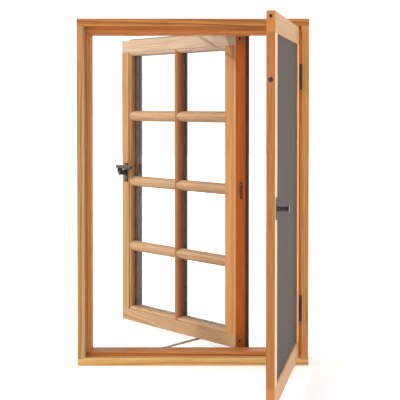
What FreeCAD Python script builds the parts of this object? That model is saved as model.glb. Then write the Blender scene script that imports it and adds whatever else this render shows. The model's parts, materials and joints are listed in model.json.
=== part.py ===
import FreeCAD, Part
import math
import os
from FreeCAD import Matrix, Rotation, Vector

# Push-out casement window with an insect-screen door that swings into the room. Millimetres.
# X runs right as seen from the room, Y runs from the room to the outside, Z runs up.
# The origin is the middle of the sill's underside, halfway through the frame.
# A depth is counted outward from the frame's room face. Every piece is drawn with the window
# shut, and is then moved with its body to the open rest pose.

# ---- Frame
frame_width = 609.6
frame_height = 914.4
frame_clad_depth = 12.0      # the metal that covers the outside end of the wood
member = 20.6                # jambs, head and sill, in front of the sash
pocket = 12.0                # the same pieces, beside the sash
arris = 3.0                  # rounding of the room-side edges
screen_rebate = 24.0         # depth from the room face to the stops
stop_back = 84.0             # depth of the stops' outer faces
sill_stop_rise = 11.6
head_stop_rise = 20.0
stop_arris = 2.5
clad_wall = 1.6
install_hole_r = 2.75
install_hole_end = 120.0     # from the head and from the sill
install_hole_depth = 95.0

# ---- Sash
sash_side_gap = 21.55        # sash wood to the frame's outside, at the sides
sash_end_gap = 28.2          # the same at the head and sill, where the hinges lie
seal_gap = 5.0               # stop to sash
seal_stand = 2.5
seal_low = 2.4               # seal's distance past the sash's edge
seal_width = 6.5
seal_margin = 3.75           # from the seal to the edge of a side stop
sash_wood = 33.0             # full thickness of the wood
ledge_start = 28.5           # where the wood steps out towards the metal
ledge_step = 1.5
sash_face_width = 36.0       # flat face of rails and stiles
sticking = 11.0              # radius of the moulded inner edge
quirk = 2.0                  # step between the face and the moulding
glass_rebate = 16.0          # depth from the sash's face to the glass
glass_bite = 9.0             # wood that overlaps the glass
glass_edge_gap = 1.5
pane = 3.0
air_space = 13.0
spacer_width = 8.0
sash_clad_depth = 9.0
clad_lip = 5.5               # metal that stands past the wood all round
clad_bead = 3.0              # extra rise of the metal round the glass
outer_margin = 7.0           # the frame stands this far past the shut sash
muntin_width = 31.0
muntin_top = 1.5             # depth of the crown below the sash's face
muntin_land = 3.0            # straight side of a muntin next to the glass
lite_rows = 4
outside_muntin_width = 22.0
outside_muntin_rise = 7.0
scrap_volume = 1000.0        # cut-off ends of a muntin are smaller than this
inner_bar_width = 16.0
inner_bar_depth = 8.0
setting_block = 90.0

# ---- Sliding hinges
open_angle = 53.6            # of the sash at rest
arm_reach = 180.0            # pivot to pivot, on the link and on the sash's arm
pivot_from_edge = 10.0
pivot_from_face = 22.0
link_width = 12.8
link_thick = 2.5
arm_thick = 3.0
link_gap = 0.5
pin_r = 3.0
running = 0.05               # radial clearance of a pin in its hole
track_width = 18.0
track_wall = 1.5
track_height = 7.0
track_lip = 2.5
track_end = 14.0             # past the outer pivots
shoe_length = 36.0
shoe_height = 3.6
shoe_gap = 0.2
boss_r = 6.5

# ---- Lock and handle
handle_above_middle = 25.5
handle_from_edge = 22.5
plate_height = 58.0
plate_width = 16.0
plate_thick = 3.0
hub_r = 8.5
handle_stand = 36.0          # from the sash to the lever's outer face
lever_width = 10.0
lever_thick = 9.0
lever_reach = 78.0
lever_tail = 9.0
lever_offset = 19.0
gear_module = 1.5
gear_teeth = 18
gear_thick = 4.6
gear_depth = 10.6            # middle of the gear, from the sash's face
backlash = 0.3
pressure_angle = 20.0
spindle_r = 3.5
lock_bar_width = 10.0
lock_bar_thick = 2.5
lock_bar_length = 520.0
rack_length = 66.0
faceplate_width = 14.0
faceplate_thick = 1.5
faceplate_length = 590.0
lock_pin_r = 3.0
lock_pin_clear = 1.95        # from a pin's tip to the jamb's keeper
lock_pin_offset = 200.0      # above and below the window's middle
keeper_clear = 1.2           # from a locked pin to the keeper's wall
keeper_wall = 2.8
keeper_end = 2.0             # from an unlocked pin to the keeper
slot_end = 1.0               # clearance at the ends of slots
dedendum = 1.25              # of the module

# ---- Snubber, halfway up the hinge side
snubber_height = 49.0
snubber_width = 15.5
snubber_thick = 1.6
snubber_slot = (9.0, 24.0)
snubber_depth = 19.0
hook_thick = 3.0
hook_width = 16.0
hook_bite = 3.5
snubber_pocket_depth = 8.0

# ---- Insect-screen door
screen_open = 80.0
screen_side_gap = 2.2
screen_end_gap = 3.1
screen_inset = 0.5           # its room face behind the frame's room face
screen_thick = 19.2
screen_member = 46.0
mesh_inset = 4.0
mesh_thick = 0.6
bead_width = 9.0
bead_depth = 10.0
leaf_thick = 1.0
leaf_depth = 19.0
barrel_r = 3.7
barrel_length = 67.7
barrel_out = 4.0             # axis in front of the frame's room face
screen_pin_r = 2.0
screen_hinge_from_end = 152.5
knuckle_gap = 0.4
pull_above_middle = 3.8
pull_plate = (16.0, 49.0, 2.0)
pull_stand = 29.0
pull_r = 8.4
pull_stem_r = 4.8
pull_flare = 1.2            # how far the foot's and head's curves stand out from the stem
catch_from_top = 172.4
catch_r = 5.6
catch_length = 18.0
plunger_r = 3.6
plunger_stand = 1.9
plunger_travel = 1.7
strike_r = 5.5
strike_thick = 1.2
button_r = 5.2
button_rise = 1.8
button_from_middle = 182.0
button_depth = 9.0

# ---- Wood screws: head radius, head height, shank radius, length
long_screw = (4.0, 2.4, 2.0, 45.0)
small_screw = (3.0, 1.5, 1.5, 12.0)
edge_screw_sink = 2.0
screen_screw_end = 11.5      # from the top or bottom of the screen door
recess_width = 0.9
head_to_edge = 1.5           # from a screw's head to the end of its plate
fixing_shares = (0.15, 0.5, 0.85)   # of the length between two pivots

# ---- Worked out from the sizes above
sash_face = stop_back + seal_gap
frame_depth = sash_face + sash_wood + sash_clad_depth + outer_margin
wood_depth = frame_depth - frame_clad_depth
rebate_x = frame_width / 2 - member
pocket_x = frame_width / 2 - pocket
sash_width = frame_width - 2 * sash_side_gap
sash_height = frame_height - 2 * sash_end_gap
sash_x = sash_width / 2
sash_low = sash_end_gap
sash_high = frame_height - sash_end_gap
sight = sash_face_width + sticking
glass_stack = 2 * pane + air_space
glass_edge = sight - glass_bite + glass_edge_gap
track_depth = sash_face + pivot_from_face
shoe_x = sash_x - pivot_from_edge
link_x = shoe_x - 2 * arm_reach
knee_x = shoe_x - arm_reach
slide_back = 2 * arm_reach * (1 - math.cos(math.radians(open_angle)))
arm_low = sash_low - arm_thick
link_top = arm_low - link_gap
link_low = link_top - link_thick
handle_x = -sash_x + handle_from_edge
gear_r = gear_module * gear_teeth / 2
rack_x = handle_x - gear_r
bar_outer_x = -sash_x + faceplate_thick + shoe_gap
lock_travel = gear_r * math.pi / 2
screen_width = 2 * (rebate_x - screen_side_gap)
screen_low = member + screen_end_gap
screen_high = frame_height - member - screen_end_gap
screen_x = screen_width / 2
screen_axis_x = screen_x + screen_side_gap / 2
mid_height = frame_height / 2
handle_height = mid_height + handle_above_middle
pull_height = mid_height + pull_above_middle
catch_height = frame_height - catch_from_top
jamb_stop_rise = sash_side_gap + seal_low + seal_width + seal_margin - member
lock_pin_stand = sash_side_gap - pocket - clad_wall - lock_pin_clear
eps = 0.01


def y_at(depth):
    return depth - frame_depth / 2


def box(x0, x1, depth0, depth1, z0, z1):
    """A block between two X, two depths and two heights."""
    return Part.makeBox(x1 - x0, depth1 - depth0, z1 - z0, Vector(x0, y_at(depth0), z0))


def rod(radius, length, x, depth, z, direction=Vector(0, 0, 1)):
    return Part.makeCylinder(radius, length, Vector(x, y_at(depth), z), direction)


def join(shapes):
    return shapes[0].fuse(shapes[1:]).removeSplitter()


def group(shapes):
    return Part.makeCompound(shapes)


def moved(shape, offset):
    matrix = Matrix()
    matrix.move(offset)
    return shape.transformed(matrix, True)


def turned(shape, degrees, centre, axis=Vector(0, 0, 1)):
    copy = shape.copy()
    copy.rotate(centre, axis, degrees)
    return copy


def top_copy(shape):
    """The same piece upside down at the head: sill and head mirror each other."""
    return shape.mirror(Vector(0, 0, mid_height), Vector(0, 0, 1))


def outline(moves, to_vector):
    """A closed face. A move is an end point, or a middle point and an end point for an arc."""
    start = moves[0]
    here = start
    edges = []
    for move in moves[1:] + [start]:
        if isinstance(move[0], tuple):
            middle, end = move
            edges.append(Part.Arc(to_vector(*here), to_vector(*middle), to_vector(*end)).toShape())
            here = end
        elif math.dist(here, move) > eps:
            edges.append(Part.makeLine(to_vector(*here), to_vector(*move)))
            here = move
    return Part.Face(Part.Wire(edges))


def bar_along_x(moves, x0, x1, z_edge=0.0):
    """A bar with a section of (height above z_edge, depth) pairs."""
    face = outline(moves, lambda rise, depth: Vector(x0, y_at(depth), z_edge + rise))
    return face.extrude(Vector(x1 - x0, 0, 0))


def mitred_bar(moves, length, low, high):
    """A bar along X whose section is given in (inward, depth) pairs, cut at 45 degrees at both ends."""
    reach = length / 2 - low
    bar = bar_along_x(moves, -reach, reach)
    cut = [(-reach, low), (reach, low), (length / 2 - high, high), (high - length / 2, high)]
    wedge = outline(cut, lambda x, z: Vector(x, -frame_depth, z)).extrude(Vector(0, 2 * frame_depth, 0))
    return bar.common(wedge)


def ring(moves, width, z_low, z_high, low, high):
    """Four mitred bars round a rectangle, in the order bottom, top, latch side, hinge side."""
    flat = mitred_bar(moves, width, low, high)
    upright = mitred_bar(moves, z_high - z_low, low, high)
    centre = Vector(0, 0, 0)
    across = Vector(0, 1, 0)
    middle = (z_low + z_high) / 2
    return [
        moved(flat, Vector(0, 0, z_low)),
        moved(turned(flat, 180, centre, across), Vector(0, 0, z_high)),
        moved(turned(upright, 90, centre, across), Vector(-width / 2, 0, middle)),
        moved(turned(upright, -90, centre, across), Vector(width / 2, 0, middle)),
    ]


def rails_and_stiles(bars, width, z_low, z_high, face_width, depth0, depth1):
    """Mitred bars regrouped so that the rails run the full width and the stiles stand between them."""
    bottom, top, latch, hinge = bars
    reach = width
    below = box(-reach, reach, depth0, depth1, z_low - reach, z_low + face_width)
    above = box(-reach, reach, depth0, depth1, z_high - face_width, z_high + reach)
    low_rail = join([bottom, latch.common(below), hinge.common(below)])
    high_rail = join([top, latch.common(above), hinge.common(above)])
    stiles = [stile.cut([below, above]) for stile in (latch, hinge)]
    return low_rail, high_rail, stiles[0], stiles[1]


def screw(size, place, direction):
    """A countersunk cross-head screw: the head's flat at place, the point along direction."""
    head_r, head_height, shank_r, length = size
    head = Part.makeCone(head_r, shank_r, head_height)
    shank = Part.makeCylinder(shank_r, length - 2 * shank_r)
    point = Part.makeCone(shank_r, shank_r / 4, 2 * shank_r, Vector(0, 0, length - 2 * shank_r))
    solid = join([head, shank, point])
    for turn in (0, 90):
        corner = Vector(-head_r / 2, -recess_width / 2, 0)
        slot = Part.makeBox(head_r, recess_width, head_height / 2, corner)
        solid = solid.cut(turned(slot, turn, Vector(0, 0, 0)))
    return aim(solid, place, direction)


def screw_hole(size, place, direction, sink=0.0):
    """The space a screw fills, with a counterbore of depth sink over its head."""
    head_r, head_height, shank_r, length = size
    head = Part.makeCone(head_r, shank_r, head_height)
    shank = Part.makeCylinder(shank_r, length)
    parts = [head, shank]
    if sink:
        parts.append(Part.makeCylinder(head_r, sink, Vector(0, 0, -sink)))
    return aim(join(parts), place, direction)


def aim(shape, place, direction):
    turn = Rotation(Vector(0, 0, 1), direction)
    matrix = turn.toMatrix()
    return moved(shape.transformed(matrix, True), Vector(place.x, place.y, place.z))


def at(x, depth, z):
    return Vector(x, y_at(depth), z)


# ---- The frame

def frame_section():
    round_mid = arris * (1 - math.sqrt(0.5))
    return [
        (0, 0),
        (member - arris, 0),
        ((member - round_mid, round_mid), (member, arris)),
        (member, stop_back),
        (pocket, stop_back),
        (pocket, wood_depth),
        (0, wood_depth),
    ]


def frame_members():
    """Head and sill run through; the jambs are coped to them."""
    half = frame_width / 2
    sill = bar_along_x(frame_section(), -half, half)
    head = top_copy(sill)
    upright = bar_along_x(frame_section(), -frame_height / 2, frame_height / 2)
    across = Vector(0, 1, 0)
    latch = moved(turned(upright, 90, Vector(0, 0, 0), across), Vector(-half, 0, mid_height))
    hinge = moved(turned(upright, -90, Vector(0, 0, 0), across), Vector(half, 0, mid_height))
    return head, sill, latch.cut([head, sill]), hinge.cut([head, sill])


def stop_section(rise):
    round_mid = stop_arris * (1 - math.sqrt(0.5))
    edge = member + rise
    return [
        (member, screen_rebate),
        (edge - stop_arris, screen_rebate),
        ((edge - round_mid, screen_rebate + round_mid), (edge, screen_rebate + stop_arris)),
        (edge, stop_back),
        (member, stop_back),
    ]


def stops():
    sill_stop = bar_along_x(stop_section(sill_stop_rise), -rebate_x, rebate_x)
    head_stop = top_copy(bar_along_x(stop_section(head_stop_rise), -rebate_x, rebate_x))
    upright = bar_along_x(stop_section(jamb_stop_rise), member - mid_height, mid_height - member)
    across = Vector(0, 1, 0)
    latch = moved(turned(upright, 90, Vector(0, 0, 0), across), Vector(-frame_width / 2, 0, mid_height))
    hinge = moved(turned(upright, -90, Vector(0, 0, 0), across), Vector(frame_width / 2, 0, mid_height))
    return head_stop, sill_stop, latch.cut([head_stop, sill_stop]), hinge.cut([head_stop, sill_stop])


def frame_cladding():
    """Channels that cap the outside end of the wood."""
    section = [
        (0, wood_depth),
        (0, frame_depth),
        (pocket, frame_depth),
        (pocket, wood_depth),
        (pocket - clad_wall, wood_depth),
        (pocket - clad_wall, frame_depth - clad_wall),
        (clad_wall, frame_depth - clad_wall),
        (clad_wall, wood_depth),
    ]
    return ring(section, frame_width, 0, frame_height, 0, pocket)


def weatherstrip():
    low = sash_side_gap + seal_low
    high = low + seal_width
    section = [
        (low, stop_back),
        (high, stop_back),
        (((low + high) / 2, stop_back + seal_stand), (low, stop_back)),
    ]
    return group(ring(section, frame_width, 0, frame_height, low, high))


def frame_screw_places():
    places = []
    for x in (-frame_width / 2 + member / 2, frame_width / 2 - member / 2):
        for depth in (screen_rebate + member / 2, stop_back - member / 2):
            places.append((at(x, depth, frame_height), Vector(0, 0, -1)))
            places.append((at(x, depth, 0), Vector(0, 0, 1)))
    return places


def install_holes():
    """Screw holes through both jambs, in the space beside the sash."""
    length = frame_width + 2 * member
    heights = (install_hole_end, frame_height - install_hole_end)
    return [
        rod(install_hole_r, length, -length / 2, install_hole_depth, z, Vector(1, 0, 0)) for z in heights
    ]


# ---- The sash

def sash_section():
    centre = glass_rebate - muntin_land
    mid = sticking * math.sqrt(0.5)
    rebate = sight - glass_bite
    return [
        (0, sash_face),
        (sash_face_width, sash_face),
        (sash_face_width, sash_face + quirk),
        ((sash_face_width + mid, sash_face + centre - mid), (sight, sash_face + centre)),
        (sight, sash_face + glass_rebate),
        (rebate, sash_face + glass_rebate),
        (rebate, sash_face + sash_wood),
        (-ledge_step, sash_face + sash_wood),
        (-ledge_step, sash_face + ledge_start),
        (0, sash_face + ledge_start),
    ]


def sash_cladding():
    outer = sash_face + sash_wood
    glass_back = sash_face + glass_rebate + glass_stack
    face = outer + sash_clad_depth
    bead = face + clad_bead
    section = [
        (-clad_lip, outer),
        (-clad_lip, face),
        (sash_face_width, face),
        (sash_face_width + clad_bead, bead),
        (sight - clad_wall, bead),
        (sight, glass_back),
        (sight - 2 * clad_wall, glass_back),
        (sight - 2 * clad_wall, bead - clad_wall),
        (sash_face_width + clad_bead, bead - clad_wall),
        (sash_face_width, face - clad_wall),
        (clad_wall - clad_lip, face - clad_wall),
        (clad_wall - clad_lip, outer + clad_wall),
        (0, outer + clad_wall),
        (0, outer),
    ]
    return ring(section, sash_width, sash_low, sash_high, -clad_lip, sight)


def muntin_moves():
    """Half-round bar: (across, depth) pairs about its own centre line."""
    half = muntin_width / 2
    back = sash_face + glass_rebate
    return [
        (-half, back),
        (-half, back - muntin_land),
        ((0, sash_face + muntin_top), (half, back - muntin_land)),
        (half, back),
    ]


def lite_heights():
    """Heights of the horizontal muntins' centre lines, which leave openings of one height."""
    low = sash_low + sight - muntin_width / 2
    high = sash_high - sight + muntin_width / 2
    step = (high - low) / lite_rows
    return [low + step * row for row in range(1, lite_rows)]


def muntins(sash_wood_pieces):
    face = outline(muntin_moves(), lambda across, depth: Vector(across, y_at(depth), sash_low))
    upright = face.extrude(Vector(0, 0, sash_height))
    edge = sash_face_width
    keep = box(-sash_x, sash_x, sash_face, sash_face + sash_wood, sash_low + edge, sash_high - edge)
    upright = upright.common(keep).cut(sash_wood_pieces)
    rows = []
    for z in lite_heights():
        row = bar_along_x(muntin_moves(), edge - sash_x, sash_x - edge, z)
        pieces = row.cut(sash_wood_pieces + [upright]).Solids
        rows += [piece for piece in pieces if piece.Volume > scrap_volume]
    return upright, group(rows)


def outside_muntins():
    back = sash_face + glass_rebate + glass_stack
    half = outside_muntin_width / 2
    top = half / 2
    crest = back + outside_muntin_rise
    moves = [(-half, back), (half, back), (top, crest), (-top, crest)]
    face = outline(moves, lambda across, depth: Vector(across, y_at(depth), sash_low + sight))
    upright = face.extrude(Vector(0, 0, sash_height - 2 * sight))
    pieces = [upright]
    for z in lite_heights():
        pieces += bar_along_x(moves, sight - sash_x, sash_x - sight, z).cut(upright).Solids
    return group(pieces)


def between_panes():
    """The spacer round the panes' edges and the bars that line up with the muntins."""
    front = sash_face + glass_rebate + pane
    back = front + air_space
    edge = glass_edge + spacer_width
    section = [(glass_edge, front), (glass_edge, back), (edge, back), (edge, front)]
    pieces = ring(section, sash_width, sash_low, sash_high, glass_edge, edge)
    middle = (front + back) / 2
    bar = (middle - inner_bar_depth / 2, middle + inner_bar_depth / 2)
    half = inner_bar_width / 2
    pieces.append(box(-half, half, bar[0], bar[1], sash_low + edge, sash_high - edge))
    for z in lite_heights():
        pieces.append(box(edge - sash_x, sash_x - edge, bar[0], bar[1], z - half, z + half))
    return join(pieces)


def glass_pane(front):
    reach = sash_x - glass_edge
    return box(-reach, reach, front, front + pane, sash_low + glass_edge, sash_high - glass_edge)


def setting_blocks():
    floor = sash_low + glass_edge - glass_edge_gap
    front = sash_face + glass_rebate
    blocks = []
    for x in (-sash_width / 4, sash_width / 4):
        half = setting_block / 2
        blocks.append(box(x - half, x + half, front, front + glass_stack, floor, floor + glass_edge_gap))
    return group(blocks)


def edge_screw_places():
    """Screws in the end grain of the sash's rails."""
    places = []
    for side in (-1, 1):
        for z in (sash_low + sash_face_width / 2, sash_high - sash_face_width / 2):
            x = side * (sash_x - edge_screw_sink)
            places.append((at(x, sash_face + glass_rebate - quirk, z), Vector(-side, 0, 0)))
    return places


# ---- Sliding hinges, drawn at the sill

def track():
    """A channel with inturned lips, and the post that the link turns on, riveted to its floor."""
    x0 = link_x - track_end
    x1 = shoe_x + shoe_length / 2
    half = track_width / 2
    floor = pocket
    top = floor + track_height
    outer = box(x0, x1, track_depth - half, track_depth + half, floor, top)
    inner = half - track_wall
    hollow = box(x0, x1, track_depth - inner, track_depth + inner, floor + track_wall, top - track_wall)
    slot = half - track_wall - track_lip
    mouth = box(x0, x1, track_depth - slot, track_depth + slot, floor + track_wall, top)
    rivet = floor + track_wall
    boss = rod(boss_r, link_low - running - rivet, link_x, track_depth, rivet)
    post = rod(pin_r, link_top - running - rivet, link_x, track_depth, rivet)
    return group([outer.cut([hollow, mouth]), join([boss, post])])


def track_screw_places():
    places = []
    reach = shoe_x - link_x
    for share in fixing_shares:
        place = at(link_x + share * reach, track_depth, pocket + track_wall)
        places.append((place, Vector(0, 0, -1)))
    return places


def shoe():
    half = track_width / 2 - track_wall - shoe_gap
    floor = pocket + track_wall + shoe_gap
    reach = shoe_length / 2
    block = box(shoe_x - reach, shoe_x + reach, track_depth - half, track_depth + half, floor,
                floor + shoe_height)
    neck = track_width / 2 - track_wall - track_lip - shoe_gap
    collar = rod(neck, arm_low - running - floor, shoe_x, track_depth, floor)
    post = rod(pin_r, sash_low - running - floor, shoe_x, track_depth, floor)
    return join([block, collar, post])


def flat_bar(x0, x1, thick, z):
    """A bar with round ends centred on x0 and x1."""
    half = link_width / 2
    moves = [
        (x0, track_depth - half),
        (x1, track_depth - half),
        ((x1 + half, track_depth), (x1, track_depth + half)),
        (x0, track_depth + half),
        ((x0 - half, track_depth), (x0, track_depth - half)),
    ]
    return outline(moves, lambda x, depth: Vector(x, y_at(depth), z)).extrude(Vector(0, 0, thick))


def link():
    bar = flat_bar(link_x, knee_x, link_thick, link_low)
    holes = [
        rod(pin_r + running, 2 * link_thick, x, track_depth, link_low - link_gap) for x in (link_x, knee_x)
    ]
    return bar.cut(holes)


def sash_arm():
    """The bar under the rail, with the pin that hangs into the link."""
    bar = flat_bar(knee_x, shoe_x, arm_thick, arm_low)
    hole = rod(pin_r + running, 2 * arm_thick, shoe_x, track_depth, arm_low - link_gap)
    pin = rod(pin_r, arm_low - link_low, knee_x, track_depth, link_low)
    return join([bar.cut(hole), pin])


def arm_screw_places():
    return [
        (at(knee_x + share * arm_reach, track_depth, arm_low), Vector(0, 0, 1))
        for share in fixing_shares
    ]


# ---- Lock

def involute_tooth():
    """One flank pair, from the base circle to the tip, as (x, z) points about the gear's centre."""
    base_r = gear_r * math.cos(math.radians(pressure_angle))
    tip_r = gear_r + gear_module
    half_angle = (math.pi * gear_module / 2 - backlash / 2) / 2 / gear_r
    pitch_roll = math.sqrt((gear_r / base_r) ** 2 - 1)
    pitch_angle = pitch_roll - math.atan(pitch_roll)
    tip_roll = math.sqrt((tip_r / base_r) ** 2 - 1)
    steps = 6
    flank = []
    for step in range(steps + 1):
        roll = tip_roll * step / steps
        radius = base_r * math.sqrt(1 + roll ** 2)
        angle = half_angle + pitch_angle - (roll - math.atan(roll))
        flank.append((radius, angle))
    return flank


def pinion():
    """An involute pinion on a round spindle that reaches the handle."""
    root_r = gear_r - dedendum * gear_module
    flank = involute_tooth()
    points = []
    for tooth in range(gear_teeth):
        centre = math.pi + 2 * math.pi * tooth / gear_teeth
        points.append((root_r, centre - flank[0][1]))
        points += [(radius, centre - angle) for radius, angle in flank]
        points += [(radius, centre + angle) for radius, angle in reversed(flank)]
        points.append((root_r, centre + flank[0][1]))
    corners = [(radius * math.cos(angle), radius * math.sin(angle)) for radius, angle in points]
    front = sash_face + gear_depth - gear_thick / 2
    face = outline(corners, lambda x, z: at(handle_x + x, front, handle_height + z))
    gear = face.extrude(Vector(0, gear_thick, 0))
    spindle = rod(spindle_r, gear_depth + plate_thick, handle_x, sash_face - plate_thick, handle_height,
                  Vector(0, 1, 0))
    return join([gear, spindle])


def rack_teeth():
    """Straight-sided teeth that face the pinion, a space between teeth at the handle's height."""
    pitch = math.pi * gear_module
    slope = math.tan(math.radians(pressure_angle))
    half = (pitch / 2 - backlash / 2) / 2
    tip = half - gear_module * slope
    foot = half + dedendum * gear_module * slope
    root_x = rack_x - dedendum * gear_module
    front = sash_face + gear_depth - gear_thick / 2
    low = handle_height - rack_length / 2 - lock_travel / 2
    teeth = [box(bar_outer_x, root_x + eps, front, front + gear_thick, low, low + rack_length)]
    count = int(rack_length / pitch / 2)
    middle = handle_height - lock_travel / 2
    shift = math.floor((middle - handle_height) / pitch) + 0.5
    for number in range(-count, count):
        z = handle_height + (shift + number) * pitch
        if low + foot < z < low + rack_length - foot:
            moves = [(root_x, z - foot), (root_x, z + foot), (rack_x + gear_module, z + tip),
                     (rack_x + gear_module, z - tip)]
            tooth = outline(moves, lambda x, height: at(x, front, height))
            teeth.append(tooth.extrude(Vector(0, gear_thick, 0)))
    return join(teeth)


def lock_pin_heights():
    return [mid_height - lock_pin_offset, mid_height + lock_pin_offset]


def lock_bar():
    """The sliding bar in the latch stile's edge, with its rack and two locking pins."""
    half = lock_bar_width / 2
    depth = sash_face + gear_depth
    low = mid_height - lock_bar_length / 2
    strip = box(bar_outer_x, bar_outer_x + lock_bar_thick, depth - half, depth + half, low,
                low + lock_bar_length)
    pieces = [strip, rack_teeth()]
    reach = bar_outer_x + sash_x + lock_pin_stand
    for z in lock_pin_heights():
        pieces.append(rod(lock_pin_r, reach + eps, bar_outer_x + eps, depth, z, Vector(-1, 0, 0)))
    return join(pieces)


def lock_mortise():
    """The space cut in the latch stile for the bar, the rack, the pinion and the faceplate."""
    depth = sash_face + gear_depth
    half = lock_bar_width / 2 + shoe_gap
    end = mid_height - faceplate_length / 2 + lock_bar_width
    inner = bar_outer_x + lock_bar_thick + shoe_gap
    groove = box(-sash_x - eps, inner, depth - half, depth + half, end, frame_height - end)
    face_half = faceplate_width / 2
    low = mid_height - faceplate_length / 2
    plate = box(-sash_x - eps, -sash_x + faceplate_thick, depth - face_half, depth + face_half, low,
                low + faceplate_length)
    gear_half = gear_thick / 2 + shoe_gap
    reach = rack_length / 2 + lock_travel / 2 + slot_end
    rack = box(inner - eps, rack_x + gear_module + shoe_gap, depth - gear_half, depth + gear_half,
               handle_height - reach, handle_height + reach)
    well = rod(gear_r + gear_module + shoe_gap, 2 * gear_half, handle_x, depth - gear_half, handle_height,
               Vector(0, 1, 0))
    bore = rod(spindle_r + running, gear_depth + gear_half + eps, handle_x, sash_face - eps, handle_height,
               Vector(0, 1, 0))
    return [groove, plate, rack, well, bore]


def lock_faceplate():
    depth = sash_face + gear_depth
    half = faceplate_width / 2
    low = mid_height - faceplate_length / 2
    plate = box(-sash_x, -sash_x + faceplate_thick, depth - half, depth + half, low,
                low + faceplate_length)
    slots = []
    wide = lock_pin_r + shoe_gap
    for z in lock_pin_heights():
        slots.append(box(-sash_x - eps, -sash_x + 2 * faceplate_thick, depth - wide, depth + wide,
                         z - wide - slot_end, z + lock_travel + wide + slot_end))
    return plate.cut(slots)


def faceplate_screw_places():
    depth = sash_face + gear_depth
    reach = faceplate_length / 2 - lock_bar_width / 2
    return [(at(-sash_x, depth, mid_height + side * reach), Vector(1, 0, 0)) for side in (-1, 1)]


def lock_keepers():
    """Hooks on the latch jamb: a locked pin stands behind the wall, an unlocked one passes below it."""
    depth = sash_face + gear_depth
    wall_front = depth + lock_pin_r + keeper_clear
    wall_back = wall_front + keeper_wall
    keepers = []
    for z in lock_pin_heights():
        low = z + 2 * lock_pin_r + keeper_end
        high = low + lock_travel
        tip = -sash_x - lock_pin_stand / 3
        base = box(-pocket_x, -pocket_x + clad_wall, depth - 2 * lock_pin_r, wall_back, low, high)
        wall = box(-pocket_x, tip, wall_front, wall_back, low, high)
        keepers.append(join([base, wall]))
    return group(keepers)


def handle_plate():
    half_w = plate_width / 2
    half_h = plate_height / 2
    front = sash_face - plate_thick
    plate = box(handle_x - half_w, handle_x + half_w, front, sash_face, handle_height - half_h,
                handle_height + half_h)
    edges = [edge for edge in plate.Edges if edge.BoundBox.YMax < y_at(sash_face) - eps]
    plate = plate.makeChamfer(plate_thick / 3, edges)
    return plate.cut(rod(spindle_r + running, 3 * plate_thick, handle_x, front - plate_thick, handle_height,
                         Vector(0, 1, 0)))


def handle_screw_places():
    reach = plate_height / 2 - long_screw[0] - head_to_edge
    front = sash_face - plate_thick
    return [(at(handle_x, front, handle_height + side * reach), Vector(0, 1, 0)) for side in (-1, 1)]


def handle_lever():
    """A hub square to the plate, an elbow at its end, and a lever in front of the elbow."""
    front = sash_face - plate_thick
    end = sash_face - handle_stand
    step = end + lever_thick
    hub = rod(hub_r, front - shoe_gap - step, handle_x, step, handle_height, Vector(0, 1, 0))
    low = handle_height + lever_offset - lever_width / 2
    elbow = box(handle_x - hub_r, handle_x, step, step + lever_thick, handle_height, low + lever_width)
    lever = box(handle_x - lever_tail, handle_x + lever_reach, end, end + lever_thick, low,
                low + lever_width)
    ends = [edge for edge in lever.Edges if edge.Length > lever_reach]
    lever = lever.makeFillet(lever_thick / 4, ends)
    socket = rod(spindle_r, handle_stand, handle_x, front - plate_thick, handle_height, Vector(0, 1, 0))
    return join([hub, elbow, lever]).cut(socket)


def spindle_end():
    """The spindle's stretch inside the hub."""
    return rod(spindle_r, plate_thick + eps, handle_x, sash_face - 2 * plate_thick, handle_height,
               Vector(0, 1, 0))


# ---- Snubber

def snubber_plate():
    depth = sash_face + snubber_depth
    half_w = snubber_width / 2
    half_h = snubber_height / 2
    plate = box(sash_x - snubber_thick, sash_x, depth - half_w, depth + half_w, mid_height - half_h,
                mid_height + half_h)
    return plate.cut(snubber_pocket(snubber_thick * 2))


def snubber_pocket(length):
    depth = sash_face + snubber_depth
    wide, tall = snubber_slot
    return box(sash_x - length, sash_x + eps, depth - wide / 2, depth + wide / 2, mid_height - tall / 2,
               mid_height + tall / 2)


def snubber_hook():
    depth = sash_face + snubber_depth
    half = hook_width / 2
    base = box(pocket_x - snubber_thick, pocket_x, depth - snubber_width / 2, depth + snubber_width / 2,
               mid_height - snubber_height / 2, mid_height + snubber_height / 2)
    tongue = box(sash_x - hook_bite, pocket_x, depth - hook_thick / 2, depth + hook_thick / 2,
                 mid_height - half, mid_height + half)
    return join([base, tongue])


def snubber_screw_places():
    depth = sash_face + snubber_depth
    reach = snubber_height / 2 - small_screw[0] - head_to_edge
    heights = [mid_height - reach, mid_height + reach]
    on_sash = [(at(sash_x, depth, z), Vector(-1, 0, 0)) for z in heights]
    on_frame = [(at(pocket_x - snubber_thick, depth, z), Vector(1, 0, 0)) for z in heights]
    return on_sash, on_frame


# ---- Insect-screen door

def screen_section():
    edge = screen_member
    front = screen_inset
    return [
        (0, front),
        (edge, front),
        (edge, front + mesh_inset),
        (edge - bead_width, front + mesh_inset),
        (edge - bead_width, front + screen_thick),
        (0, front + screen_thick),
    ]


def screen_members():
    bars = ring(screen_section(), screen_width, screen_low, screen_high, 0, screen_member)
    return rails_and_stiles(bars, screen_width, screen_low, screen_high, screen_member, 0, frame_depth)


def screen_mesh():
    front = screen_inset + mesh_inset
    edge = screen_member - bead_width
    reach = screen_x - edge
    return box(-reach, reach, front, front + mesh_thick, screen_low + edge, screen_high - edge)


def screen_beads():
    front = screen_inset + mesh_inset + mesh_thick
    low = screen_member - bead_width
    section = [(low, front), (low, front + bead_depth), (screen_member, front + bead_depth / 2),
               (screen_member, front)]
    return group(ring(section, screen_width, screen_low, screen_high, low, screen_member))


def screen_screw_places():
    places = []
    depth = screen_inset + screen_thick / 2
    for side in (-1, 1):
        for z in (screen_low + screen_screw_end, screen_high - screen_screw_end):
            places.append((at(side * (screen_x - edge_screw_sink), depth, z), Vector(-side, 0, 0)))
    return places


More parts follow.
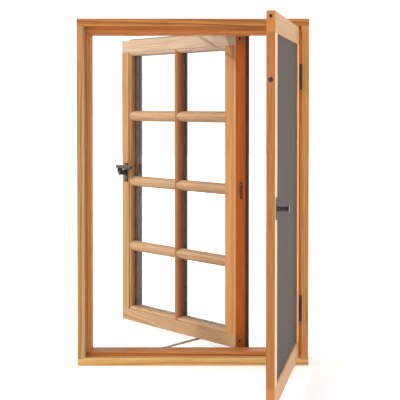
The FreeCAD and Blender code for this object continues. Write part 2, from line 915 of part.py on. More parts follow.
def knuckles(middle, which):
    """Two outer knuckles for the frame's leaf, the middle one for the door's."""
    third = barrel_length / 3
    low = middle - barrel_length / 2
    spans = {"frame": [(low, low + third), (low + 2 * third, low + barrel_length)],
             "door": [(low + third + knuckle_gap, low + 2 * third - knuckle_gap)]}
    return spans[which]


def screen_leaf(middle, which):
    """One hinge leaf in the gap between the door and the jamb, with its knuckles round the pin."""
    low = middle - barrel_length / 2
    if which == "frame":
        x0 = rebate_x - leaf_thick
        bore = screen_pin_r
    else:
        x0 = screen_x
        bore = screen_pin_r + running
    x1 = x0 + leaf_thick
    start = screen_inset + knuckle_gap
    pieces = [box(x0, x1, start, leaf_depth, low, low + barrel_length)]
    for z0, z1 in knuckles(middle, which):
        pieces.append(rod(barrel_r, z1 - z0, screen_axis_x, -barrel_out, z0))
        pieces.append(box(x0, x1, -barrel_out, start, z0, z1))
    hole = rod(bore, 2 * barrel_length, screen_axis_x, -barrel_out, low - barrel_length / 2)
    return join(pieces).cut(hole)


def hinge_middles():
    return [screen_hinge_from_end, frame_height - screen_hinge_from_end]


def screen_pins():
    return group([rod(screen_pin_r, barrel_length, screen_axis_x, -barrel_out, middle - barrel_length / 2)
                  for middle in hinge_middles()])


def leaf_screw_places():
    """Two screws in each door leaf and two in each frame leaf."""
    door = []
    frame = []
    depth = (leaf_depth + screen_inset) / 2
    for middle in hinge_middles():
        for shift in (-barrel_length / 3, barrel_length / 3):
            door.append((at(screen_x + leaf_thick, depth, middle + shift), Vector(-1, 0, 0)))
            frame.append((at(rebate_x - leaf_thick, depth, middle + shift), Vector(1, 0, 0)))
    return door, frame


def pull_x():
    return screen_member / 2 - screen_x


def screen_pull_plate():
    width, height, thick = pull_plate
    x = pull_x()
    plate = box(x - width / 2, x + width / 2, screen_inset - thick, screen_inset, pull_height - height / 2,
                pull_height + height / 2)
    edges = [edge for edge in plate.Edges if edge.BoundBox.YMax < y_at(screen_inset) - eps]
    return plate.makeChamfer(thick / 3, edges)


def screen_pull():
    """A turned knob: a wide foot that sweeps in to a stem and out again to a flat end."""
    thick = pull_plate[2]
    reach = pull_stand - thick
    foot = reach / 3
    neck = reach - foot
    moves = [
        (0, 0),
        (pull_r, 0),
        ((pull_stem_r + pull_flare, foot / 3), (pull_stem_r, foot)),
        (pull_stem_r, neck),
        ((pull_stem_r + pull_flare, reach - foot / 3), (pull_r, reach)),
        (0, reach),
    ]
    profile = outline(moves, lambda radius, out: Vector(radius, -out, 0))
    knob = profile.revolve(Vector(0, 0, 0), Vector(0, 1, 0), 360)
    return moved(knob, at(pull_x(), screen_inset - thick, pull_height))


def pull_screw_places():
    reach = pull_plate[1] / 2 - small_screw[0] - head_to_edge
    front = screen_inset - pull_plate[2]
    return [(at(pull_x(), front, pull_height + side * reach), Vector(0, 1, 0)) for side in (-1, 1)]


def catch_barrel():
    """A sleeve let into the door's edge, closed at its inner end."""
    depth = screen_inset + screen_thick / 2
    sleeve = rod(catch_r, catch_length, -screen_x, depth, catch_height, Vector(1, 0, 0))
    bore = rod(plunger_r + running, catch_length - strike_thick, -screen_x, depth, catch_height,
               Vector(1, 0, 0))
    return sleeve.cut(bore)


def catch_plunger():
    """A round-nosed pin with a screwdriver slot."""
    depth = screen_inset + screen_thick / 2
    length = catch_length - strike_thick - plunger_travel - slot_end
    body = rod(plunger_r, length, -screen_x, depth, catch_height, Vector(1, 0, 0))
    ball_r = (plunger_r ** 2 + plunger_stand ** 2) / (2 * plunger_stand)
    ball = Part.makeSphere(ball_r, at(ball_r - plunger_stand - screen_x, depth, catch_height))
    reach = 2 * ball_r
    nose = ball.common(box(-screen_x - reach, eps - screen_x, depth - reach, depth + reach,
                           catch_height - reach, catch_height + reach))
    slot = box(-screen_x - reach, -screen_x - plunger_stand / 2, depth - recess_width / 2,
               depth + recess_width / 2, catch_height - reach, catch_height + reach)
    return join([body, nose]).cut(slot)


def catch_strike():
    """A disc let into the latch jamb, with a dimple where the plunger rests."""
    depth = screen_inset + screen_thick / 2
    disc = rod(strike_r, strike_thick, -rebate_x - strike_thick, depth, catch_height, Vector(1, 0, 0))
    dimple = rod(plunger_r, strike_thick, -rebate_x - strike_thick / 2, depth, catch_height, Vector(1, 0, 0))
    return disc.cut(dimple)


def sill_button():
    """A low round glide that the screen door passes over."""
    radius = (button_r ** 2 + button_rise ** 2) / (2 * button_rise)
    ball = Part.makeSphere(radius, at(-button_from_middle, button_depth, member + button_rise - radius))
    keep = rod(button_r, button_rise, -button_from_middle, button_depth, member)
    return ball.common(keep)


# ---- Fastening

def holes_for(size, places, sink=0.0):
    return [screw_hole(size, place, direction, sink) for place, direction in places]


def screws_at(size, places):
    return [screw(size, place, direction) for place, direction in places]


def flipped(places):
    """The same screw places, mirrored from the sill to the head."""
    return [(Vector(place.x, place.y, frame_height - place.z), -direction) for place, direction in places]


# ---- The bodies

def frame_parts():
    head, sill, latch_jamb, hinge_jamb = frame_members()
    head_stop, sill_stop, latch_stop, hinge_stop = stops()
    clad = frame_cladding()
    tracks = [track(), top_copy(track())]
    track_places = track_screw_places()
    corner_holes = holes_for(long_screw, frame_screw_places())
    snub_frame = snubber_screw_places()[1]
    leaf_frame = leaf_screw_places()[1]
    small_places = track_places + flipped(track_places) + snub_frame + leaf_frame
    strike_hole = rod(strike_r, strike_thick, -rebate_x - strike_thick, screen_inset + screen_thick / 2,
                      catch_height, Vector(1, 0, 0))
    sill = sill.cut(corner_holes + holes_for(small_screw, track_places))
    head = head.cut(corner_holes + holes_for(small_screw, flipped(track_places)))
    latch_jamb = latch_jamb.cut(corner_holes + install_holes() + [strike_hole])
    hinge_holes = holes_for(small_screw, snub_frame + leaf_frame)
    hinge_jamb = hinge_jamb.cut(corner_holes + install_holes() + hinge_holes)
    leaf_holes = holes_for(small_screw, leaf_frame)
    leaves = [screen_leaf(middle, "frame").cut(leaf_holes) for middle in hinge_middles()]
    return {
        "head_jamb": head,
        "sill": sill,
        "latch_jamb": latch_jamb,
        "hinge_jamb": hinge_jamb,
        "head_stop": head_stop,
        "sill_stop": sill_stop,
        "latch_stop": latch_stop,
        "hinge_stop": hinge_stop,
        "head_and_sill_cladding": group(clad[:2]),
        "jamb_cladding": group(clad[2:]),
        "weatherstrip": weatherstrip(),
        "bottom_hinge_track": tracks[0].cut(holes_for(small_screw, track_places)),
        "top_hinge_track": tracks[1].cut(holes_for(small_screw, flipped(track_places))),
        "frame_long_screws": group(screws_at(long_screw, frame_screw_places())),
        "frame_small_screws": group(screws_at(small_screw, small_places)),
        "snubber_hook": snubber_hook().cut(holes_for(small_screw, snub_frame)),
        "lock_keepers": lock_keepers(),
        "screen_hinge_frame_leaves": group(leaves),
        "screen_hinge_pins": screen_pins(),
        "screen_catch_strike": catch_strike(),
        "sill_button": sill_button(),
    }


def sash_parts():
    bars = ring(sash_section(), sash_width, sash_low, sash_high, -ledge_step, sight)
    low_rail, high_rail, latch, hinge = rails_and_stiles(
        bars, sash_width, sash_low, sash_high, sash_face_width, 0, frame_depth
    )
    square_edge = box(sash_x - sight, sash_x - sash_face_width, sash_face, sash_face + glass_rebate,
                      sash_low + sash_face_width, sash_high - sash_face_width)
    hinge = join([hinge, square_edge.cut([low_rail, high_rail])])
    upright, rows = muntins([low_rail, high_rail, latch, hinge])
    clad = sash_cladding()
    arm_places = arm_screw_places()
    edge_holes = holes_for(long_screw, edge_screw_places(), edge_screw_sink)
    snub_places = snubber_screw_places()[0]
    snub_seat = box(sash_x - snubber_thick, sash_x + eps, sash_face + snubber_depth - snubber_width / 2,
                    sash_face + snubber_depth + snubber_width / 2, mid_height - snubber_height / 2,
                    mid_height + snubber_height / 2)
    snub_holes = holes_for(small_screw, snub_places)
    front = sash_face + glass_rebate
    lock_places = handle_screw_places()
    face_places = faceplate_screw_places()
    small_places = arm_places + flipped(arm_places) + snub_places + face_places + lock_places
    return {
        "sash_bottom_rail": low_rail.cut(edge_holes + holes_for(small_screw, arm_places)),
        "sash_top_rail": high_rail.cut(edge_holes + holes_for(small_screw, flipped(arm_places))),
        "sash_latch_stile": latch.cut(lock_mortise() + holes_for(small_screw, lock_places + face_places)),
        "sash_hinge_stile": hinge.cut(snub_holes + [snub_seat, snubber_pocket(snubber_pocket_depth)]),
        "vertical_muntin": upright,
        "horizontal_muntins": rows,
        "outside_muntins": outside_muntins(),
        "pane_spacer": between_panes(),
        "inner_pane": glass_pane(front),
        "outer_pane": glass_pane(front + pane + air_space),
        "setting_blocks": setting_blocks(),
        "sash_rail_cladding": group(clad[:2]),
        "sash_stile_cladding": group(clad[2:]),
        "bottom_sash_arm": sash_arm().cut(holes_for(small_screw, arm_places)),
        "top_sash_arm": top_copy(sash_arm()).cut(holes_for(small_screw, flipped(arm_places))),
        "sash_edge_screws": group(screws_at(long_screw, edge_screw_places())),
        "sash_small_screws": group(screws_at(small_screw, small_places)),
        "snubber_plate": snubber_plate().cut(holes_for(small_screw, snub_places)),
        "lock_faceplate": lock_faceplate().cut(holes_for(small_screw, face_places)),
        "handle_plate": handle_plate().cut(holes_for(small_screw, lock_places)),
    }


def screen_parts():
    low_rail, high_rail, latch, hinge = screen_members()
    edge_holes = holes_for(long_screw, screen_screw_places(), edge_screw_sink)
    leaf_door = leaf_screw_places()[0]
    catch_hole = rod(catch_r, catch_length, -screen_x, screen_inset + screen_thick / 2, catch_height,
                     Vector(1, 0, 0))
    leaf_holes = holes_for(small_screw, leaf_door)
    leaves = [screen_leaf(middle, "door").cut(leaf_holes) for middle in hinge_middles()]
    pull_places = pull_screw_places()
    return {
        "screen_bottom_rail": low_rail.cut(edge_holes),
        "screen_top_rail": high_rail.cut(edge_holes),
        "screen_latch_stile": latch.cut([catch_hole] + holes_for(small_screw, pull_places)),
        "screen_hinge_stile": hinge.cut(leaf_holes),
        "screen_mesh": screen_mesh(),
        "screen_beads": screen_beads(),
        "screen_hinge_door_leaves": group(leaves),
        "screen_pull_plate": screen_pull_plate().cut(holes_for(small_screw, pull_places)),
        "screen_pull": screen_pull(),
        "catch_barrel": catch_barrel(),
        "screen_screws": group(screws_at(long_screw, screen_screw_places())
                               + screws_at(small_screw, leaf_door + pull_places)),
    }


def handle_parts():
    return {"handle_lever": handle_lever(), "lock_pinion": join([pinion(), spindle_end()])}


# ---- The rest pose

def sash_pose(shape):
    """Turned about the shoe's pivot, which has slid along the track."""
    open_shape = turned(shape, -open_angle, at(shoe_x, track_depth, 0))
    return moved(open_shape, Vector(-slide_back, 0, 0))


def link_pose(shape):
    return turned(shape, open_angle, at(link_x, track_depth, 0))


def shoe_pose(shape):
    return moved(shape, Vector(-slide_back, 0, 0))


def screen_pose(shape):
    return turned(shape, screen_open, at(screen_axis_x, -barrel_out, 0))


def all_parts():
    parts = dict(frame_parts())
    sash = sash_parts()
    sash.update(handle_parts())
    sash["lock_bar"] = lock_bar()
    for name, shape in sash.items():
        parts[name] = sash_pose(shape)
    screen = screen_parts()
    screen["catch_plunger"] = catch_plunger()
    for name, shape in screen.items():
        parts[name] = screen_pose(shape)
    parts["bottom_link"] = link_pose(link())
    parts["top_link"] = link_pose(top_copy(link()))
    parts["bottom_shoe"] = shoe_pose(shoe())
    parts["top_shoe"] = shoe_pose(top_copy(shoe()))
    return parts


def main():
    os.makedirs("parts", exist_ok=True)
    for name, shape in all_parts().items():
        shape.exportStep("parts/" + name + ".step")


if __name__ == "__main__":
    main()
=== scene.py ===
import json
import math

import bpy
import numpy as np
from bpy.props import FloatProperty, FloatVectorProperty, IntProperty, PointerProperty
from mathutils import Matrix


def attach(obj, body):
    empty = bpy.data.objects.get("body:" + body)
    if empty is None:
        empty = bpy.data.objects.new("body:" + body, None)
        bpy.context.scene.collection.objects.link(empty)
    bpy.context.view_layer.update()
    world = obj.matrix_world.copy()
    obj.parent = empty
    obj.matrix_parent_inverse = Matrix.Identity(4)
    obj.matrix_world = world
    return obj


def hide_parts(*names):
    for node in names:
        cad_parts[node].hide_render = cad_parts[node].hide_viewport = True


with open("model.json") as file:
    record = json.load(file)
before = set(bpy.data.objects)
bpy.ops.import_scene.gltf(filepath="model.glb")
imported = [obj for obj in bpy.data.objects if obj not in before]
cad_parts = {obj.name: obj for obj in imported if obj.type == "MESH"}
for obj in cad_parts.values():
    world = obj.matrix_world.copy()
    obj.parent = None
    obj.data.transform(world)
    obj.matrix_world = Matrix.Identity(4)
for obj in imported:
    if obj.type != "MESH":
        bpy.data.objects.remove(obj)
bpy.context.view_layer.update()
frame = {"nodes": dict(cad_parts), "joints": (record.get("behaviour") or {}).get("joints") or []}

bl_info = {
    "name": "Casement Window Finishes",
    "version": (1, 0, 0),
    "blender": (4, 5, 0),
    "location": "3D View > Sidebar > Casement",
    "description": "Timber, metal, glass and fine pieces for a casement window with a screen door",
    "category": "Object",
}

JOINTS = {joint["name"]: joint for joint in frame["joints"]}
# Turns about Z, in degrees, that take the sash and the screen door from shut to where they rest.
SASH_TURN = JOINTS["bottom_link_pivot"]["range_deg"][0]
SCREEN_TURN = -JOINTS["screen_swing"]["range_deg"][0]
RING_WAVE = math.pi / 10    # the Wave node's scale at which its rings lie one unit apart
FIBRE_STRETCH = 45.0        # how much longer than wide a wood fibre is drawn
RING_STRETCH = 11.0         # how much longer than wide the waves of a growth ring are
EDGE_SAMPLES = 4            # rays with which an edge's rounding is found
SQUARELY = 0.95             # cosine from which a face counts as square to a direction
WEAR_RADIUS = 0.0012        # how far wear reaches in from a metal edge
LAMP_WHITE = (1.0, 0.97, 0.93)


# ---- Settings that a user would change

def tone(name, description, colour):
    """A colour setting."""
    return FloatVectorProperty(
        name=name, description=description, subtype="COLOR", size=3, min=0.0, max=1.0, default=colour
    )


def length(name, description, metres):
    """A setting in metres."""
    return FloatProperty(name=name, description=description, default=metres, min=0.0, unit="LENGTH")


def share(name, description, value):
    """A setting from 0 to 1."""
    return FloatProperty(name=name, description=description, default=value, min=0.0, max=1.0)


class CASEMENT_PG_timber(bpy.types.PropertyGroup):
    """Colours of the early and late wood of every board, the painted shade and light that some of them
    carry, and the lacquer over them.
    """
    head_pale: tone("Head, early wood", "Pale growth of the head", (0.470, 0.185, 0.045))
    head_deep: tone("Head, late wood", "Dark growth of the head", (0.110, 0.030, 0.007))
    sill_pale: tone("Sill, early wood", "Pale growth of the sill", (0.680, 0.460, 0.190))
    sill_deep: tone("Sill, late wood", "Dark growth of the sill", (0.420, 0.170, 0.040))
    latch_jamb_pale: tone("Latch jamb, early wood", "Pale growth of the latch jamb", (0.460, 0.275, 0.120))
    latch_jamb_deep: tone("Latch jamb, late wood", "Dark growth of the latch jamb", (0.320, 0.140, 0.048))
    hinge_jamb_pale: tone("Hinge jamb, early wood", "Pale growth of the hinge jamb", (0.640, 0.300, 0.090))
    hinge_jamb_deep: tone("Hinge jamb, late wood", "Dark growth of the hinge jamb", (0.360, 0.130, 0.028))
    stop_pale: tone("Stops, early wood", "Pale growth of the stops", (0.580, 0.230, 0.060))
    stop_deep: tone("Stops, late wood", "Dark growth of the stops", (0.260, 0.070, 0.013))
    low_rail_pale: tone("Bottom rail, early wood", "Pale growth of the sash's bottom rail",
                        (0.360, 0.225, 0.108))
    low_rail_deep: tone("Bottom rail, late wood", "Dark growth of the sash's bottom rail",
                        (0.285, 0.143, 0.052))
    upright_pale: tone("Upright muntin, early wood", "Pale growth of the upright muntin",
                       (0.300, 0.130, 0.042))
    upright_deep: tone("Upright muntin, late wood", "Dark growth of the upright muntin",
                       (0.220, 0.070, 0.018))
    rail_pale: tone("Sash rails, early wood", "Pale growth of the sash rails", (0.420, 0.310, 0.205))
    rail_deep: tone("Sash rails, late wood", "Dark growth of the sash rails", (0.330, 0.215, 0.120))
    latch_stile_pale: tone("Latch stile, early wood", "Pale growth of the latch stile",
                           (0.350, 0.215, 0.078))
    latch_stile_deep: tone("Latch stile, late wood", "Dark growth of the latch stile", (0.260, 0.115, 0.034))
    hinge_stile_pale: tone("Hinge stile, early wood", "Pale growth of the hinge stile",
                           (0.410, 0.195, 0.060))
    hinge_stile_deep: tone("Hinge stile, late wood", "Dark growth of the hinge stile", (0.300, 0.105, 0.025))
    muntin_pale: tone("Muntins, early wood", "Pale growth of the muntins", (0.375, 0.235, 0.118))
    muntin_deep: tone("Muntins, late wood", "Dark growth of the muntins", (0.270, 0.135, 0.055))
    screen_rail_pale: tone("Screen rails, early wood", "Pale growth of the screen's rails",
                           (0.62, 0.36, 0.16))
    screen_rail_deep: tone("Screen rails, late wood", "Dark growth of the screen's rails",
                           (0.42, 0.21, 0.075))
    # Partly the stiles' own lighter wood and partly painted light: the faces of the screen's stiles are made
    # lighter for the strong lamp light on them, while their edges take the darker flank colour.
    screen_stile_pale: tone("Screen stiles, early wood", "Pale growth of the screen's stiles",
                            (0.86, 0.58, 0.36))
    screen_stile_deep: tone("Screen stiles, late wood", "Dark growth of the screen's stiles",
                            (0.66, 0.40, 0.22))
    # Painted shadow: the beads lie in the shade of the recess beside the mesh, and this dark brown stands
    # for that shade.
    bead_pale: tone("Beads, early wood", "Pale growth of the screen's beads", (0.17, 0.095, 0.052))
    bead_deep: tone("Beads, late wood", "Dark growth of the screen's beads", (0.12, 0.058, 0.028))
    end_grain: tone("End grain", "Cut ends of every board", (0.46, 0.150, 0.036))
    # Painted shade: darker, redder copies of each board's wood, put on the sides of these boards for the
    # shade that falls there.
    latch_side_shade: tone("Latch stile, flank", "Sides of the latch stile", (0.33, 0.130, 0.042))
    hinge_side_shade: tone("Hinge stile, flank", "Sides of the hinge stile", (0.560, 0.165, 0.033))
    screen_side_shade: tone("Screen, flank", "Edges of the screen door's stiles", (0.355, 0.124, 0.026))
    upright_side_shade: tone("Upright muntin, flank", "Sides of the upright muntin", (0.27, 0.072, 0.015))
    lacquer: share("Lacquer roughness", "How dull the clear lacquer is", 0.46)
    sheen: share("Lacquer sheen", "How much light the lacquer mirrors", 0.22)
    arris: length("Worn arris", "Radius that handling leaves on every edge", 0.0009)


class CASEMENT_PG_metal(bpy.types.PropertyGroup):
    """Colours of the metal, rubber and nylon."""
    cladding: tone("Cladding", "Painted outside metal", (0.060, 0.027, 0.018))
    bronze: tone("Handle", "Oil-rubbed bronze of the handle and pull", (0.030, 0.025, 0.021))
    bronze_worn: tone("Handle, worn", "Metal that shows at the edges of the handle", (0.088, 0.074, 0.063))
    pull_worn: tone("Pull, worn", "Metal that shows at the rim of the pull", (0.60, 0.55, 0.48))
    brass: tone("Snubber", "Aged brass of the snubber", (0.30, 0.17, 0.085))
    hinge: tone("Butt hinges", "Black of the screen door's hinges", (0.040, 0.022, 0.015))
    steel: tone("Sliding hinges", "Stainless steel of the tracks, links and lock", (0.400, 0.345, 0.280))
    screw: tone("Screws", "Browned screws", (0.060, 0.045, 0.036))
    catch: tone("Catch", "Darkened nickel of the screen catch", (0.055, 0.050, 0.046))
    spacer: tone("Spacer", "Bar between the panes", (0.130, 0.075, 0.042))
    rubber: tone("Rubber", "Weatherstrip and setting blocks", (0.030, 0.026, 0.022))
    nylon: tone("Nylon", "Shoes and sill button", (0.30, 0.29, 0.28))


class CASEMENT_PG_cloth(bpy.types.PropertyGroup):
    """The insect mesh."""
    pitch: length("Pitch", "From wire to wire", 0.0015)
    wire: length("Wire", "Thickness of a wire", 0.00028)
    colour: tone("Colour", "Coated glass yarn", (0.088, 0.073, 0.061))


class CASEMENT_PG_fittings(bpy.types.PropertyGroup):
    """The handle's lever and the weatherstrip."""
    lever_steps: IntProperty(name="Lever steps", description="Sections along the lever", default=64, min=8)
    section_steps: IntProperty(name="Section steps", description="Points round a section", default=40, min=8)
    grip_tall: length("Grip height", "Height of the lever's grip", 0.010)
    grip_thick: length("Grip thickness", "Thickness of the grip and of the elbow", 0.009)
    tail: length("Tail", "From the spindle's axis to the near end of the grip", 0.009)
    hub: length("Hub", "Radius of the hub", 0.0085)
    squareness: FloatProperty(
        name="Squareness", description="Power of the lever's section", default=3.2, min=2.0
    )
    shoulder: length("Shoulder", "Radius that rounds the ends of the grip and the elbow", 0.003)
    lip: length("Seal lip", "Height of each small rib on the weatherstrip", 0.0004)
    seal_width: length("Seal width", "Width of the weatherstrip's foot", 0.0065)


class CASEMENT_PG_stage(bpy.types.PropertyGroup):
    """Floor, lights and camera."""
    camera_place: FloatVectorProperty(
        name="Camera", description="Where the camera stands", subtype="TRANSLATION", size=3,
        default=(0.0186, -3.1988, 0.6819),
    )
    camera_tilt: FloatProperty(
        name="Tilt", description="How far the camera looks down", subtype="ANGLE", default=math.radians(1.6)
    )
    lens: FloatProperty(name="Lens", description="Focal length in millimetres", default=107.253, min=1.0)
    shift: FloatProperty(name="Shift", description="Vertical shift of the lens", default=-0.1482)
    floor_radius: length("Floor", "Radius of the floor", 14.0)
    floor: tone("Floor colour", "White floor", (0.96, 0.96, 0.96))
    sky: FloatProperty(name="Room light", description="Strength of the white room", default=1.12, min=0.0)
    dim_side: FloatProperty(name="Dim side", description="Strength of the room at the right", default=0.95)
    key: FloatProperty(
        name="Key light", description="Strength of the light at the left", default=2.2, min=0.0
    )
    key_direction: FloatVectorProperty(
        name="Key direction", description="Where the key light shines to", subtype="DIRECTION", size=3,
        default=(1.434, -0.26, -0.60),
    )
    key_spread: FloatProperty(
        name="Key spread", description="Apparent size of the key light", subtype="ANGLE",
        default=math.radians(1.2),
    )
    side: FloatProperty(
        name="Side light", description="Strength of the light at the near left", default=1.0
    )
    side_direction: FloatVectorProperty(
        name="Side direction", description="Where the side light shines to", subtype="DIRECTION", size=3,
        default=(1.30, 0.42, -0.45),
    )
    side_spread: FloatProperty(
        name="Side spread", description="Apparent size of the side light", subtype="ANGLE",
        default=math.radians(8.0),
    )
    glow: FloatProperty(
        name="Floor glow", description="Light that the floor gives off", default=0.22, min=0.0
    )


SETTINGS = {
    "casement_timber": CASEMENT_PG_timber,
    "casement_metal": CASEMENT_PG_metal,
    "casement_cloth": CASEMENT_PG_cloth,
    "casement_fittings": CASEMENT_PG_fittings,
    "casement_stage": CASEMENT_PG_stage,
}


# ---- Node helpers

class Recipe:
    """A material whose nodes are added one by one."""

    def __init__(self, name):
        self.material = bpy.data.materials.new(name)
        self.material.use_nodes = True
        self.tree = self.material.node_tree
        self.tree.nodes.clear()
        self.output = self.add("ShaderNodeOutputMaterial")
        self.shader = self.add("ShaderNodeBsdfPrincipled")
        self.link(self.shader, "BSDF", self.output, "Surface")

    def add(self, kind, **settings):
        """A new node with its settings."""
        node = self.tree.nodes.new(kind)
        for key, value in settings.items():
            setattr(node, key, value)
        return node

    def link(self, source, out, target, into):
        """Joins one node's output to another's input."""
        self.tree.links.new(source.outputs[out], target.inputs[into])

    def place(self, centre=(0, 0, 0), turn=0.0, upright=False, tilt=0.0, stretch=(1, 1, 1)):
        """Object coordinates about centre, with local X along the grain, divided by stretch."""
        coordinates = self.add("ShaderNodeTexCoord")
        mapping = self.add("ShaderNodeMapping", vector_type="TEXTURE")
        mapping.inputs["Location"].default_value = centre
        lean = -math.pi / 2 if upright else 0.0
        mapping.inputs["Rotation"].default_value = (0.0, lean + tilt, math.radians(turn))
        mapping.inputs["Scale"].default_value = stretch
        self.link(coordinates, "Object", mapping, "Vector")
        return mapping

    def noise(self, mapping, scale, detail=2.0, roughness=0.5, distortion=0.0):
        """A noise texture over mapped coordinates."""
        node = self.add("ShaderNodeTexNoise")
        node.inputs["Scale"].default_value = scale
        node.inputs["Detail"].default_value = detail
        node.inputs["Roughness"].default_value = roughness
        node.inputs["Distortion"].default_value = distortion
        self.link(mapping, "Vector", node, "Vector")
        return node

    def spread(self, source, out, low, high, to_low, to_high):
        """A value from low to high carried over to to_low to to_high, without going past either."""
        node = self.add("ShaderNodeMapRange")
        for name, value in zip(("From Min", "From Max", "To Min", "To Max"), (low, high, to_low, to_high)):
            node.inputs[name].default_value = value
        self.link(source, out, node, "Value")
        return node

    def facing(self, turn, upright, start, most):
        """Up to most where the surface faces along Z, or along a turned X. It sets in at start."""
        angle = math.radians(turn)
        along = (0.0, 0.0, 1.0) if upright else (math.cos(angle), math.sin(angle), 0.0)
        coordinates = self.add("ShaderNodeTexCoord")
        dot = self.add("ShaderNodeVectorMath", operation="DOT_PRODUCT")
        self.link(coordinates, "Normal", dot, 0)
        dot.inputs[1].default_value = along
        size = self.add("ShaderNodeMath", operation="ABSOLUTE")
        self.link(dot, "Value", size, 0)
        return self.spread(size, "Value", start, SQUARELY, 0.0, most)

    def ramp(self, source, out, stops):
        """A colour ramp with stops of position and colour."""
        node = self.add("ShaderNodeValToRGB")
        elements = node.color_ramp.elements
        while len(elements) < len(stops):
            elements.new(0.5)
        for element, (position, colour) in zip(elements, stops):
            element.position = position
            element.color = (*colour, 1.0)
        self.link(source, out, node, "Fac")
        return node

    def mix(self, blend, factor, first, second):
        """Two colours mixed. A factor, first or second is a value or a pair of node and output."""
        node = self.add("ShaderNodeMix", data_type="RGBA", blend_type=blend)
        for index, value in ((0, factor), (6, first), (7, second)):
            socket = node.inputs[index]
            if isinstance(value, tuple) and hasattr(value[0], "outputs"):
                self.tree.links.new(value[0].outputs[value[1]], socket)
            elif index:
                socket.default_value = (*value, 1.0)
            else:
                socket.default_value = value
        return node

    def colour(self, node):
        """Makes a mix's or a ramp's colour the base colour."""
        index = 2 if node.bl_idname == "ShaderNodeMix" else 0
        self.tree.links.new(node.outputs[index], self.shader.inputs["Base Color"])

    def relief(self, source, out, strength, distance, radius=0.0):
        """Bump from a height, over edges that are rounded to a radius."""
        bump = self.add("ShaderNodeBump")
        bump.inputs["Strength"].default_value = strength
        bump.inputs["Distance"].default_value = distance
        self.link(source, out, bump, "Height")
        if radius:
            bevel = self.add("ShaderNodeBevel", samples=EDGE_SAMPLES)
            bevel.inputs["Radius"].default_value = radius
            self.link(bevel, "Normal", bump, "Normal")
        self.link(bump, "Normal", self.shader, "Normal")

    def set(self, **values):
        """Sets values straight on the shader, with underscores for the spaces in their names."""
        for name, value in values.items():
            self.shader.inputs[name.replace("_", " ")].default_value = value


def wood(name, pale, deep, look, centre, turn=0.0, upright=False, tilt=0.0, ring=0.004, wander=5.0,
         figure=1.0, patch=0.35, flank=None):
    """Clear-lacquered softwood.

    Growth rings are a saw wave of the distance from a line along the grain, pushed about by slow noise.
    Each ring goes slowly from early to late wood and back at once. Fibres are noise drawn out along the
    grain, and wide patches of noise lead from tan to orange. End grain shows where the surface faces
    along the grain. The sides of an upright board may take a darker, redder flank colour: painted shade
    that stands for the lesser light on those faces.
    """
    recipe = Recipe(name)
    along = recipe.place(centre, turn, upright, tilt, stretch=(RING_STRETCH, 1.0, 1.0))
    rings = recipe.add(
        "ShaderNodeTexWave", wave_type="RINGS", rings_direction="X", wave_profile="SAW"
    )
    for key, value in (("Scale", RING_WAVE / ring), ("Distortion", wander), ("Detail", 2.5),
                       ("Detail Scale", 0.22), ("Detail Roughness", 0.55)):
        rings.inputs[key].default_value = value
    recipe.link(along, "Vector", rings, "Vector")
    drawn = recipe.place(centre, turn, upright, tilt, stretch=(FIBRE_STRETCH, 1.0, 1.0))
    fibres = recipe.noise(drawn, scale=430.0, detail=5.0, roughness=0.62)
    patches = recipe.noise(along, scale=16.0, distortion=0.6)
    middle = tuple(0.6 * a + 0.4 * b for a, b in zip(pale, deep))
    grain = recipe.ramp(rings, "Fac", [(0.0, pale), (0.45, pale), (0.80, middle), (0.94, deep), (1.0, pale)])
    soft = recipe.mix("MIX", 1.0 - figure, (grain, "Color"), middle)
    warm = recipe.spread(patches, "Fac", 0.38, 0.66, 0.0, patch)
    orange = tuple(min(1.0, c * s) for c, s in zip(middle, (1.08, 0.86, 0.62)))
    toned = recipe.mix("MIX", (warm, "Result"), (soft, 2), orange)
    streaks = recipe.ramp(fibres, "Fac", [(0.34, (0.68, 0.62, 0.57)), (0.60, (1.07, 1.07, 1.08))])
    ends = recipe.facing(turn, upright, start=0.70, most=0.85)
    sawn = recipe.mix("MIX", (ends, "Result"), (toned, 2), tuple(look.end_grain))
    # Painted shade: where the surface faces along the turned X, the board's sides take the darker, redder
    # flank colour, which stands for the shade on them.
    if flank:
        side = recipe.facing(turn, upright=False, start=0.40, most=0.96)
        sawn = recipe.mix("MIX", (side, "Result"), (sawn, 2), tuple(getattr(look, flank)))
    recipe.colour(recipe.mix("MULTIPLY", 0.85, (sawn, 2), (streaks, "Color")))
    rough = recipe.spread(fibres, "Fac", 0.3, 0.7, look.lacquer - 0.06, look.lacquer + 0.10)
    recipe.link(rough, "Result", recipe.shader, "Roughness")
    recipe.set(Specular_IOR_Level=look.sheen)
    height = recipe.mix("MIX", 0.35, (fibres, "Fac"), (rings, "Fac"))
    recipe.relief(height, 2, strength=0.22, distance=0.00018, radius=look.arris)
    return recipe.material


